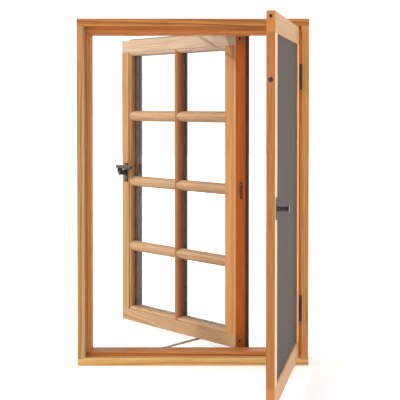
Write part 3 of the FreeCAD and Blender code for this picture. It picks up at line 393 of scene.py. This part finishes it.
def painted(name, colour, roughness, metallic=0.0, worn=None):
    """Paint or a rubbed finish: fine orange-peel bump, slow changes of tone and, at the edges, wear.

    An edge is where a normal that is rounded over a small radius leaves the true one.
    """
    recipe = Recipe(name)
    place = recipe.place()
    peel = recipe.noise(place, scale=2600.0)
    slow = recipe.noise(place, scale=45.0, detail=4.0, roughness=0.6)
    tones = recipe.ramp(slow, "Fac", [
        (0.32, tuple(c * 0.80 for c in colour)), (0.70, tuple(min(1.0, c * 1.22) for c in colour))
    ])
    if worn is None:
        recipe.colour(tones)
    else:
        bevel = recipe.add("ShaderNodeBevel", samples=EDGE_SAMPLES)
        bevel.inputs["Radius"].default_value = WEAR_RADIUS
        true = recipe.add("ShaderNodeNewGeometry")
        dot = recipe.add("ShaderNodeVectorMath", operation="DOT_PRODUCT")
        recipe.link(bevel, "Normal", dot, 0)
        recipe.link(true, "Normal", dot, 1)
        edge = recipe.spread(dot, "Value", 0.90, 0.99, 0.65, 0.0)
        recipe.colour(recipe.mix("MIX", (edge, "Result"), (tones, "Color"), worn))
    rough = recipe.spread(slow, "Fac", 0.3, 0.7, roughness - 0.06, roughness + 0.08)
    recipe.link(rough, "Result", recipe.shader, "Roughness")
    recipe.set(Metallic=metallic)
    recipe.relief(peel, "Fac", strength=0.12, distance=0.00008, radius=0.0005)
    return recipe.material


def brushed(name, colour, roughness, turn=0.0, upright=False):
    """Steel brushed along its length: noise drawn out along the brushing sets tone, gloss and bump."""
    recipe = Recipe(name)
    drawn = recipe.place(turn=turn, upright=upright, stretch=(50.0, 1.0, 1.0))
    lines = recipe.noise(drawn, scale=2400.0)
    slow = recipe.noise(recipe.place(turn=turn, upright=upright), scale=60.0, detail=3.0, roughness=0.6)
    tones = recipe.ramp(lines, "Fac", [
        (0.30, tuple(c * 0.78 for c in colour)), (0.70, tuple(min(1.0, c * 1.15) for c in colour))
    ])
    stain = recipe.ramp(slow, "Fac", [(0.35, (0.82, 0.80, 0.78)), (0.60, (1.0, 1.0, 1.0))])
    recipe.colour(recipe.mix("MULTIPLY", 0.8, (tones, "Color"), (stain, "Color")))
    rough = recipe.spread(lines, "Fac", 0.3, 0.7, roughness - 0.08, roughness + 0.10)
    recipe.link(rough, "Result", recipe.shader, "Roughness")
    recipe.set(Metallic=1.0)
    recipe.relief(lines, "Fac", strength=0.10, distance=0.00005, radius=0.0004)
    return recipe.material


def dull(name, colour, roughness, grain=900.0, slow_scale=9.0, stretch=(1, 1, 1)):
    """Rubber, nylon or yarn: a soft surface with fine grain in tone, gloss and bump."""
    recipe = Recipe(name)
    fine = recipe.noise(recipe.place(), grain, detail=3.0, roughness=0.6)
    slow = recipe.noise(recipe.place(stretch=stretch), slow_scale, detail=3.0)
    tones = recipe.ramp(slow, "Fac", [
        (0.35, tuple(c * 0.86 for c in colour)), (0.66, tuple(min(1.0, c * 1.16) for c in colour))
    ])
    speckle = recipe.ramp(fine, "Fac", [(0.32, (0.86, 0.86, 0.86)), (0.68, (1.08, 1.08, 1.08))])
    recipe.colour(recipe.mix("MULTIPLY", 0.8, (tones, "Color"), (speckle, "Color")))
    rough = recipe.spread(fine, "Fac", 0.3, 0.7, roughness - 0.08, roughness + 0.08)
    recipe.link(rough, "Result", recipe.shader, "Roughness")
    recipe.relief(fine, "Fac", strength=0.15, distance=0.00010)
    return recipe.material


def clear_glass(name):
    """Float glass: faint roller waves and a breath of dust, and lamps shine straight through it.

    The index of refraction is set low, as a coating against reflections would make it look.
    """
    recipe = Recipe(name)
    place = recipe.place()
    waves = recipe.noise(place, scale=14.0, detail=1.0, roughness=0.4)
    dust = recipe.noise(place, scale=160.0, detail=4.0, roughness=0.6)
    tint = recipe.ramp(dust, "Fac", [(0.40, (0.985, 0.995, 0.99)), (0.75, (0.97, 0.98, 0.975))])
    recipe.colour(tint)
    rough = recipe.spread(dust, "Fac", 0.45, 0.80, 0.0, 0.02)
    recipe.link(rough, "Result", recipe.shader, "Roughness")
    recipe.set(IOR=1.18, Transmission_Weight=1.0)
    recipe.relief(waves, "Fac", strength=0.02, distance=0.0002)
    path = recipe.add("ShaderNodeLightPath")
    through = recipe.add("ShaderNodeBsdfTransparent")
    choice = recipe.add("ShaderNodeMixShader")
    recipe.link(path, "Is Shadow Ray", choice, "Fac")
    recipe.tree.links.new(recipe.shader.outputs[0], choice.inputs[1])
    recipe.tree.links.new(through.outputs[0], choice.inputs[2])
    recipe.tree.links.new(choice.outputs[0], recipe.output.inputs["Surface"])
    return recipe.material


def dress(finish, *nodes):
    """Puts a finish on CAD nodes, whose meshes stay as they are."""
    for name in nodes:
        frame["nodes"][name].material_slots[0].material = finish


# ---- Shape helpers

def turned_points(points, degrees):
    """Points turned about the vertical through the origin."""
    angle = math.radians(degrees)
    matrix = np.array([
        [math.cos(angle), -math.sin(angle), 0.0], [math.sin(angle), math.cos(angle), 0.0], [0.0, 0.0, 1.0]
    ])
    return points @ matrix.T


def body_box(node, degrees):
    """Lowest and highest corner of a CAD node, in axes turned by degrees about the vertical."""
    mesh = frame["nodes"][node].data
    points = np.empty(len(mesh.vertices) * 3)
    mesh.vertices.foreach_get("co", points)
    points = turned_points(points.reshape(-1, 3), -degrees)
    return points.min(axis=0), points.max(axis=0)


def piece(name, points, faces, finish, body, stands_for, smooth=True):
    """A new object at the origin that rides a body and stands for a CAD node."""
    mesh = bpy.data.meshes.new(name)
    mesh.from_pydata(points.reshape(-1, 3).tolist(), [], faces)
    mesh.polygons.foreach_set("use_smooth", np.full(len(mesh.polygons), smooth))
    mesh.materials.append(finish)
    mesh.update()
    thing = bpy.data.objects.new(name, mesh)
    bpy.context.scene.collection.objects.link(thing)
    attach(thing, body)
    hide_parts(stands_for)
    return thing


def grid_faces(rows, columns, wrap_rows=False, start=0):
    """Quads of a grid of points whose columns close on themselves, and whose rows may too."""
    row = np.arange(rows if wrap_rows else rows - 1)[:, None]
    column = np.arange(columns)[None, :]
    after = (row + 1) % rows
    beside = (column + 1) % columns
    corners = [
        row * columns + column, row * columns + beside,
        after * columns + beside, after * columns + column,
    ]
    quads = np.stack([np.broadcast_to(corner, (row.size, columns)) for corner in corners], axis=-1)
    return quads.reshape(-1, 4) + start


def tube_faces(shape, start):
    """Quads of a tube of rings, and a flat cap on its first and its last ring."""
    rows, columns = shape.shape[:2]
    last = start + (rows - 1) * columns
    caps = [list(range(start + columns - 1, start - 1, -1)), list(range(last, last + columns))]
    return grid_faces(rows, columns, start=start).tolist() + caps


def loft(centres, half_a, half_b, axis_a, axis_b, steps, power):
    """A tube of superellipses.

    At each centre the section is centre + A |cos u|^(2/p) sign(cos u) + B |sin u|^(2/p) sign(sin u), with
    A and B the half widths along two axes. Axis a, axis b and the way along the tube are right-handed, so
    that its faces look outward.
    """
    u = np.linspace(0.0, 2.0 * np.pi, steps, endpoint=False)
    ca = np.sign(np.cos(u)) * np.abs(np.cos(u)) ** (2.0 / power)
    sb = np.sign(np.sin(u)) * np.abs(np.sin(u)) ** (2.0 / power)
    return (
        centres[:, None, :]
        + half_a[:, None, None] * ca[None, :, None] * np.asarray(axis_a)[None, None, :]
        + half_b[:, None, None] * sb[None, :, None] * np.asarray(axis_b)[None, None, :]
    )


def round_ends(t, radius, reach):
    """Quarter-round shoulders: almost 0 at both ends, 1 from radius inwards, the root of 1 - (1 - s)^2."""
    least = 1e-6    # keeps the end rings open, for their caps
    s = np.clip(np.minimum(t, 1.0 - t) * reach / radius, 0.0, 1.0)
    return np.sqrt(np.clip(1.0 - (1.0 - s) ** 2, least, 1.0))


# ---- Operators

class CASEMENT_OT_timber(bpy.types.Operator):
    """Lacquered wood on every board, each with its own growth rings"""
    bl_idname = "casement.timber"
    bl_label = "Timber"

    def execute(self, context):
        look = context.scene.casement_timber

        def board(name, kind, nodes, **figure):
            """Dresses nodes in wood of a kind, whose two colours are settings."""
            pale = tuple(getattr(look, kind + "_pale"))
            deep = tuple(getattr(look, kind + "_deep"))
            dress(wood("wood_" + name, pale, deep, look, **figure), *nodes)

        board("head", "head", ["head_jamb"], centre=(0.1, -0.040, 0.868),
              tilt=0.02, ring=0.0085, wander=10.0)
        board("sill", "sill", ["sill"], centre=(-0.2, 0.01, 0.05),
              tilt=-0.02, ring=0.0140, wander=9.0, patch=0.6)
        board("latch_jamb", "latch_jamb", ["latch_jamb"], centre=(-0.33, 0.03, 0.4), upright=True,
              tilt=0.012, ring=0.0088, wander=5.0, patch=0.45)
        board("hinge_jamb", "hinge_jamb", ["hinge_jamb"], centre=(0.34, -0.05, 0.3), upright=True,
              tilt=-0.01, ring=0.0059, wander=4.0)
        board("head_stop", "stop", ["head_stop"], centre=(-0.1, -0.02, 0.93),
              ring=0.0105, wander=7.0, patch=0.5)
        board("sill_stop", "stop", ["sill_stop"], centre=(0.2, 0.0, -0.02),
              tilt=0.01, ring=0.0105, wander=7.0, patch=0.6)
        board("side_stops", "stop", ["latch_stop", "hinge_stop"], centre=(0.0, -0.10, 0.6), upright=True,
              ring=0.0070, wander=4.0)

        sash = {"turn": SASH_TURN}
        board("sash_bottom_rail", "low_rail", ["sash_bottom_rail"], centre=(-0.05, 0.30, 0.02), **sash,
              tilt=0.09, ring=0.0042, wander=5.0, patch=0.25)
        board("sash_top_rail", "rail", ["sash_top_rail"], centre=(-0.08, 0.32, 0.93), **sash,
              tilt=-0.03, ring=0.0042, wander=5.0, patch=0.2)
        # Painted shade on the sides of the stiles and of the upright muntin, through their flank colours.
        board("sash_latch_stile", "latch_stile", ["sash_latch_stile"], centre=(-0.17, 0.50, 0.5), **sash,
              upright=True, flank="latch_side_shade", tilt=0.04, ring=0.0105, wander=7.0, patch=0.4)
        board("sash_hinge_stile", "hinge_stile", ["sash_hinge_stile"], centre=(0.16, 0.10, 0.5), **sash,
              upright=True, flank="hinge_side_shade", ring=0.0088, wander=3.0)
        board("horizontal_muntins", "muntin", ["horizontal_muntins"], centre=(-0.05, 0.28, 0.1), **sash,
              tilt=0.01, ring=0.0045, wander=4.0, patch=0.25)
        board("vertical_muntin", "upright", ["vertical_muntin"], centre=(-0.08, 0.30, 0.4), **sash,
              upright=True, flank="upright_side_shade", ring=0.0045, wander=4.0, patch=0.5)

        door = {"turn": SCREEN_TURN, "ring": 0.0060, "wander": 4.0}
        board("screen_rails", "screen_rail", ["screen_bottom_rail", "screen_top_rail"],
              centre=(0.24, -0.35, 0.5), **door, tilt=0.01, figure=0.8, patch=0.25)
        # Partly own tone, partly painted light: the screen stiles' faces are made lighter for the lamp light
        # on them, and their edges darker.
        board("screen_stiles", "screen_stile", ["screen_latch_stile", "screen_hinge_stile"],
              centre=(0.26, -0.35, 0.4), **door, upright=True, flank="screen_side_shade", figure=0.8, patch=0.25)
        # Painted shadow: the beads are dressed in a dark wood that stands for the shade they lie in.
        board("screen_beads", "bead", ["screen_beads"],
              centre=(0.26, -0.35, 0.4), **door, upright=True, patch=0.2)
        return {"FINISHED"}


class CASEMENT_OT_metal(bpy.types.Operator):
    """Painted, rubbed and brushed metal, rubber and nylon"""
    bl_idname = "casement.metal"
    bl_label = "Metal, rubber and nylon"

    def execute(self, context):
        look = context.scene.casement_metal
        cladding = painted("bronze_paint", tuple(look.cladding), roughness=0.55)
        dress(cladding, "head_and_sill_cladding", "jamb_cladding", "sash_rail_cladding",
              "sash_stile_cladding", "outside_muntins")
        bronze = painted("rubbed_bronze", tuple(look.bronze), roughness=0.50, metallic=0.30,
                         worn=tuple(look.bronze_worn))
        dress(bronze, "handle_plate", "handle_lever", "screen_pull_plate")
        pull = painted("rubbed_pull", tuple(look.bronze), roughness=0.34, metallic=0.75,
                       worn=tuple(look.pull_worn))
        dress(pull, "screen_pull")
        brass = painted("aged_brass", tuple(look.brass), roughness=0.42, metallic=0.6)
        dress(brass, "snubber_plate", "snubber_hook")
        hinge = painted("black_hinge", tuple(look.hinge), roughness=0.38, metallic=0.3)
        dress(hinge, "screen_hinge_frame_leaves", "screen_hinge_door_leaves", "screen_hinge_pins")
        dress(painted("spacer_metal", tuple(look.spacer), roughness=0.62), "pane_spacer")

        steel = tuple(look.steel)
        dress(brushed("track_steel", steel, roughness=0.34), "bottom_hinge_track", "top_hinge_track")
        dress(brushed("link_steel", steel, roughness=0.34, turn=-SASH_TURN), "bottom_link", "top_link")
        dress(brushed("arm_steel", steel, roughness=0.34, turn=SASH_TURN),
              "bottom_sash_arm", "top_sash_arm", "lock_pinion")
        dress(brushed("lock_steel", steel, roughness=0.36, turn=SASH_TURN, upright=True),
              "lock_bar", "lock_faceplate", "lock_keepers")
        dress(brushed("plated_screws", tuple(look.screw), roughness=0.40), "frame_long_screws",
              "frame_small_screws", "sash_edge_screws", "sash_small_screws", "screen_screws")
        dress(brushed("nickel_catch", tuple(look.catch), roughness=0.30, turn=SCREEN_TURN),
              "catch_barrel", "catch_plunger", "screen_catch_strike")
        dress(dull("black_rubber", tuple(look.rubber), roughness=0.62), "weatherstrip", "setting_blocks")
        dress(dull("grey_nylon", tuple(look.nylon), roughness=0.45),
              "bottom_shoe", "top_shoe", "sill_button")
        return {"FINISHED"}


class CASEMENT_OT_glass(bpy.types.Operator):
    """Clear panes"""
    bl_idname = "casement.glass"
    bl_label = "Glass"

    def execute(self, context):
        dress(clear_glass("float_glass"), "inner_pane", "outer_pane")
        return {"FINISHED"}


class CASEMENT_OT_insect_mesh(bpy.types.Operator):
    """Insect mesh of separate straight wires in place of the plain sheet"""
    bl_idname = "casement.insect_mesh"
    bl_label = "Insect mesh"

    def execute(self, context):
        look = context.scene.casement_cloth
        low, high = body_box("screen_mesh", SCREEN_TURN)
        middle = (low[1] + high[1]) / 2.0
        half = look.wire / 2.0
        points, faces = self.wires(low, high, middle, half, look.pitch)
        finish = dull("mesh_yarn", tuple(look.colour), roughness=0.55, grain=2200.0, slow_scale=110.0,
                      stretch=(1.0, 1.0, 40.0))
        cloth = piece("insect_mesh", turned_points(points, SCREEN_TURN), faces.tolist(), finish,
                      "screen", "screen_mesh", smooth=False)
        return {"FINISHED"}

    @staticmethod
    def wires(low, high, middle, half, pitch):
        """Two sets of straight four-sided wires, one just in front of the other.

        A wire's section is a square, its centre plus and minus half of the wire's thickness along both
        axes. Wire number k lies k times the pitch from the first.
        """
        across = np.arange(low[0] + pitch, high[0], pitch)
        upward = np.arange(low[2] + pitch, high[2], pitch)
        ring = half * np.array([[1.0, 1.0], [-1.0, 1.0], [-1.0, -1.0], [1.0, -1.0]])
        stand = 0.8 * half    # the two sets bite a little into each other where they cross
        ends_z = np.array([low[2], high[2]])
        ends_x = np.array([low[0], high[0]])
        shape = (across.size, 2, 4)
        warp = np.stack([
            np.broadcast_to(across[:, None, None] + ring[None, None, :, 0], shape),
            np.broadcast_to(middle + stand + ring[None, None, :, 1], shape),
            np.broadcast_to(ends_z[None, :, None], shape),
        ], axis=-1)
        shape = (upward.size, 2, 4)
        weft = np.stack([
            np.broadcast_to(ends_x[None, :, None], shape),
            np.broadcast_to(middle - stand + ring[None, None, :, 1], shape),
            np.broadcast_to(upward[:, None, None] - ring[None, None, :, 0], shape),
        ], axis=-1)
        points = np.concatenate([warp.reshape(-1, 3), weft.reshape(-1, 3)])
        side = np.arange(4)
        beside = (side + 1) % 4
        sides = np.stack([side, beside, beside + 4, side + 4], axis=-1)
        caps = np.array([[3, 2, 1, 0], [4, 5, 6, 7]])
        one = np.concatenate([sides, caps])
        count = across.size + upward.size
        faces = (one[None, :, :] + 8 * np.arange(count)[:, None, None]).reshape(-1, 4)
        return points, faces


class CASEMENT_OT_lever(bpy.types.Operator):
    """Lever, elbow and collared hub of the handle"""
    bl_idname = "casement.lever"
    bl_label = "Handle lever"

    def execute(self, context):
        look = context.scene.casement_fittings
        low, high = body_box("handle_lever", SASH_TURN)
        hub_z = low[2] + look.hub
        hub_x = low[0] + look.tail
        grip_z = high[2] - look.grip_tall / 2.0
        front = low[1]
        shapes = [
            self.grip(low[0], high[0], grip_z, front, look),
            self.elbow(hub_x - look.hub / 2.0, hub_z, high[2], front, look),
            self.hub(hub_x, hub_z, front + look.grip_thick, high[1], look),
        ]
        faces = []
        start = 0
        for shape in shapes:
            faces += tube_faces(shape, start)
            start += shape.shape[0] * shape.shape[1]
        points = np.concatenate([shape.reshape(-1, 3) for shape in shapes])
        finish = bpy.data.materials["rubbed_bronze"]
        piece("lever_and_hub", turned_points(points, SASH_TURN), faces, finish, "handle",
              "handle_lever")
        return {"FINISHED"}

    @staticmethod
    def grip(x0, x1, z, front, look):
        """A paddle along X: its section grows slowly towards the far end, and both ends are rounded.

        The stations crowd towards both ends as the cosine of an even angle does.
        """
        near_height, near_depth, growth = 0.88, 0.80, 0.8
        count = look.lever_steps
        t = (1.0 - np.cos(np.linspace(0.0, np.pi, count))) / 2.0
        shoulder = round_ends(t, look.shoulder, x1 - x0)
        depth = shoulder * (near_depth + (1.0 - near_depth) * t) * look.grip_thick / 2.0
        height = shoulder * (near_height + (1.0 - near_height) * t ** growth) * look.grip_tall / 2.0
        centres = np.stack([
            x0 + (x1 - x0) * t, np.full(count, front + look.grip_thick / 2.0), np.full(count, z)
        ], axis=-1)
        return loft(centres, depth, height, (0, 1, 0), (0, 0, 1), look.section_steps, look.squareness)

    @staticmethod
    def elbow(x, z0, z1, front, look):
        """A waisted neck up Z from the hub to the grip, whose back it is let into."""
        waist, set_back, half_depth, power = 0.16, 1.65, 0.95, 3.0
        count = look.lever_steps
        t = (1.0 - np.cos(np.linspace(0.0, np.pi, count))) / 2.0
        shoulder = round_ends(t, look.shoulder, z1 - z0)
        width = shoulder * (1.0 - waist * np.sin(np.pi * t)) * look.hub / 2.0
        depth = shoulder * half_depth * look.grip_thick
        centres = np.stack([
            np.full(count, x), np.full(count, front + set_back * look.grip_thick), z0 + (z1 - z0) * t
        ], axis=-1)
        return loft(centres, width, depth, (1, 0, 0), (0, 1, 0), look.section_steps, power)

    @staticmethod
    def hub(x, z, front, back, look):
        """A turned boss along Y: a rounded nose, a straight barrel, a collar and a wide foot.

        The outline holds shares of the hub's length and of its radius, from the nose to the foot.
        """
        outline = np.array([
            (0.0, 0.66), (0.03, 0.80), (0.07, 0.88), (0.36, 0.88), (0.42, 0.80), (0.60, 0.78),
            (0.66, 0.82), (0.70, 0.98), (0.74, 1.0), (0.97, 1.0), (1.0, 0.97),
        ])
        u = np.linspace(0.0, 2.0 * np.pi, look.section_steps, endpoint=False)
        along = front + (back - front) * outline[:, 0][:, None] + 0.0 * u[None, :]
        away = look.hub * outline[:, 1][:, None]
        return np.stack([x + away * np.sin(u)[None, :], along, z + away * np.cos(u)[None, :]], axis=-1)


class CASEMENT_OT_weatherstrip(bpy.types.Operator):
    """Bulb seal round the stops"""
    bl_idname = "casement.weatherstrip"
    bl_label = "Weatherstrip"

    def execute(self, context):
        look = context.scene.casement_fittings
        low, high = body_box("weatherstrip", 0.0)
        points = self.ring(low, high, look)
        faces = grid_faces(*points.shape[:2], wrap_rows=True)
        finish = bpy.data.materials["black_rubber"]
        piece("bulb_seal", points, faces.tolist(), finish, "frame", "weatherstrip")
        return {"FINISHED"}

    @staticmethod
    def ring(low, high, look):
        """A mitred frame of four sections, one in each corner of the box.

        A section runs once over the seal as u goes from 0 to pi. It lies (1 - cos u) half widths in from
        the outer edge and stands out by sin u to a power, with small ribs that follow cos of several u.
        """
        fullness, ribs_on_seal = 0.8, 9.0
        stand = high[1] - low[1]
        u = np.linspace(0.0, np.pi, look.section_steps)
        ribs = look.lip * np.cos(ribs_on_seal * u) / 2.0
        inward = (look.seal_width / 2.0) * (1.0 - np.cos(u))
        out = np.clip((stand - look.lip / 2.0) * np.sin(u) ** fullness + ribs * np.sin(u), 0.0, stand)
        corner = np.array([[0, 0], [1, 0], [1, 1], [0, 1]])
        x_edge = np.where(corner[:, 0] == 0, low[0], high[0])
        z_edge = np.where(corner[:, 1] == 0, low[2], high[2])
        x_in = np.where(corner[:, 0] == 0, 1.0, -1.0)
        z_in = np.where(corner[:, 1] == 0, 1.0, -1.0)
        return np.stack([
            x_edge[:, None] + x_in[:, None] * inward[None, :],
            np.broadcast_to(low[1] + out[None, :], (len(corner), u.size)),
            z_edge[:, None] + z_in[:, None] * inward[None, :],
        ], axis=-1)


class CASEMENT_OT_stage(bpy.types.Operator):
    """White floor, soft room light, two lamps and the camera"""
    bl_idname = "casement.stage"
    bl_label = "Stage"

    def execute(self, context):
        look = context.scene.casement_stage
        self.floor(look)
        self.room(context.scene, look)
        self.sun("key", look.key, look.key_spread, look.key_direction)
        self.sun("side", look.side, look.side_spread, look.side_direction)
        self.camera(context.scene, look)
        context.scene.view_settings.view_transform = "Standard"
        return {"FINISHED"}

    @staticmethod
    def floor(look):
        """A disc: radius r and angle u on a polar grid, with one flat polygon at the middle."""
        segments = 96
        u = np.linspace(0.0, 2.0 * np.pi, segments, endpoint=False)
        r = look.floor_radius * np.array([0.05, 0.2, 0.5, 1.0])
        rings = np.stack([
            r[:, None] * np.cos(u), r[:, None] * np.sin(u), np.zeros((r.size, segments))
        ], axis=-1)
        mesh = bpy.data.meshes.new("floor")
        faces = grid_faces(r.size, segments)[:, ::-1].tolist() + [list(range(segments))]
        mesh.from_pydata(rings.reshape(-1, 3).tolist(), [], faces)
        recipe = Recipe("white_floor")
        slow = recipe.noise(recipe.place(), scale=3.0, detail=4.0, roughness=0.6)
        recipe.colour(recipe.ramp(slow, "Fac", [
            (0.3, tuple(look.floor)), (0.7, tuple(min(1.0, c * 1.02) for c in look.floor))
        ]))
        recipe.set(Roughness=0.9, Emission_Color=(1.0, 1.0, 1.0, 1.0), Emission_Strength=look.glow)
        mesh.materials.append(recipe.material)
        floor = bpy.data.objects.new("floor", mesh)
        bpy.context.scene.collection.objects.link(floor)

    @staticmethod
    def room(scene, look):
        """A white room that grows dimmer towards the right."""
        world = bpy.data.worlds.new("white_room")
        world.use_nodes = True
        tree = world.node_tree
        background = tree.nodes["Background"]
        where = tree.nodes.new("ShaderNodeTexCoord")
        parts = tree.nodes.new("ShaderNodeSeparateXYZ")
        fade = tree.nodes.new("ShaderNodeMapRange")
        fade.interpolation_type = "SMOOTHSTEP"
        for name, value in (("From Min", 0.2), ("From Max", 0.9),
                            ("To Min", look.sky), ("To Max", look.dim_side)):
            fade.inputs[name].default_value = value
        tree.links.new(where.outputs["Generated"], parts.inputs[0])
        tree.links.new(parts.outputs["X"], fade.inputs["Value"])
        tree.links.new(fade.outputs["Result"], background.inputs["Strength"])
        background.inputs["Color"].default_value = (1.0, 1.0, 1.0, 1.0)
        scene.world = world

    @staticmethod
    def sun(name, strength, spread, direction):
        """A warm white lamp, turned so that its rays run along a direction."""
        lamp = bpy.data.lights.new(name, "SUN")
        lamp.energy = strength
        lamp.angle = spread
        lamp.color = LAMP_WHITE
        sun = bpy.data.objects.new(name, lamp)
        bpy.context.scene.collection.objects.link(sun)
        across = math.atan2(direction[1], direction[0])
        down = math.atan2(math.hypot(direction[0], direction[1]), -direction[2])
        sun.rotation_euler = (0.0, -down, across)

    @staticmethod
    def camera(scene, look):
        """A camera that looks along Y, a little downward, with its lens shifted."""
        lens = bpy.data.cameras.new("camera")
        lens.lens = look.lens
        lens.shift_y = look.shift
        lens.clip_end = 100.0
        camera = bpy.data.objects.new("camera", lens)
        camera.location = look.camera_place
        camera.rotation_euler = (math.pi / 2.0 - look.camera_tilt, 0.0, 0.0)
        scene.collection.objects.link(camera)
        scene.camera = camera


class CASEMENT_PT_panel(bpy.types.Panel):
    """Lists the window's steps and their settings"""
    bl_label = "Casement Window"
    bl_idname = "CASEMENT_PT_panel"
    bl_space_type = "VIEW_3D"
    bl_region_type = "UI"
    bl_category = "Casement"

    def draw(self, context):
        for step in STEPS:
            self.layout.operator(step.bl_idname)
        for name, group in SETTINGS.items():
            box = self.layout.box()
            box.label(text=group.__doc__)
            for key in group.__annotations__:
                box.prop(getattr(context.scene, name), key)


STEPS = (
    CASEMENT_OT_timber,
    CASEMENT_OT_metal,
    CASEMENT_OT_glass,
    CASEMENT_OT_insect_mesh,
    CASEMENT_OT_lever,
    CASEMENT_OT_weatherstrip,
    CASEMENT_OT_stage,
)


def register():
    for group in SETTINGS.values():
        bpy.utils.register_class(group)
    for name, group in SETTINGS.items():
        setattr(bpy.types.Scene, name, PointerProperty(type=group))
    for step in STEPS:
        bpy.utils.register_class(step)
    bpy.utils.register_class(CASEMENT_PT_panel)


def unregister():
    bpy.utils.unregister_class(CASEMENT_PT_panel)
    for step in reversed(STEPS):
        bpy.utils.unregister_class(step)
    for name, group in SETTINGS.items():
        delattr(bpy.types.Scene, name)
        bpy.utils.unregister_class(group)


def main():
    register()
    bpy.ops.casement.timber()
    bpy.ops.casement.metal()
    bpy.ops.casement.glass()
    bpy.ops.casement.insect_mesh()
    bpy.ops.casement.lever()
    bpy.ops.casement.weatherstrip()
    bpy.ops.casement.stage()
    bpy.context.view_layer.update()


if __name__ == "__main__":
    main()
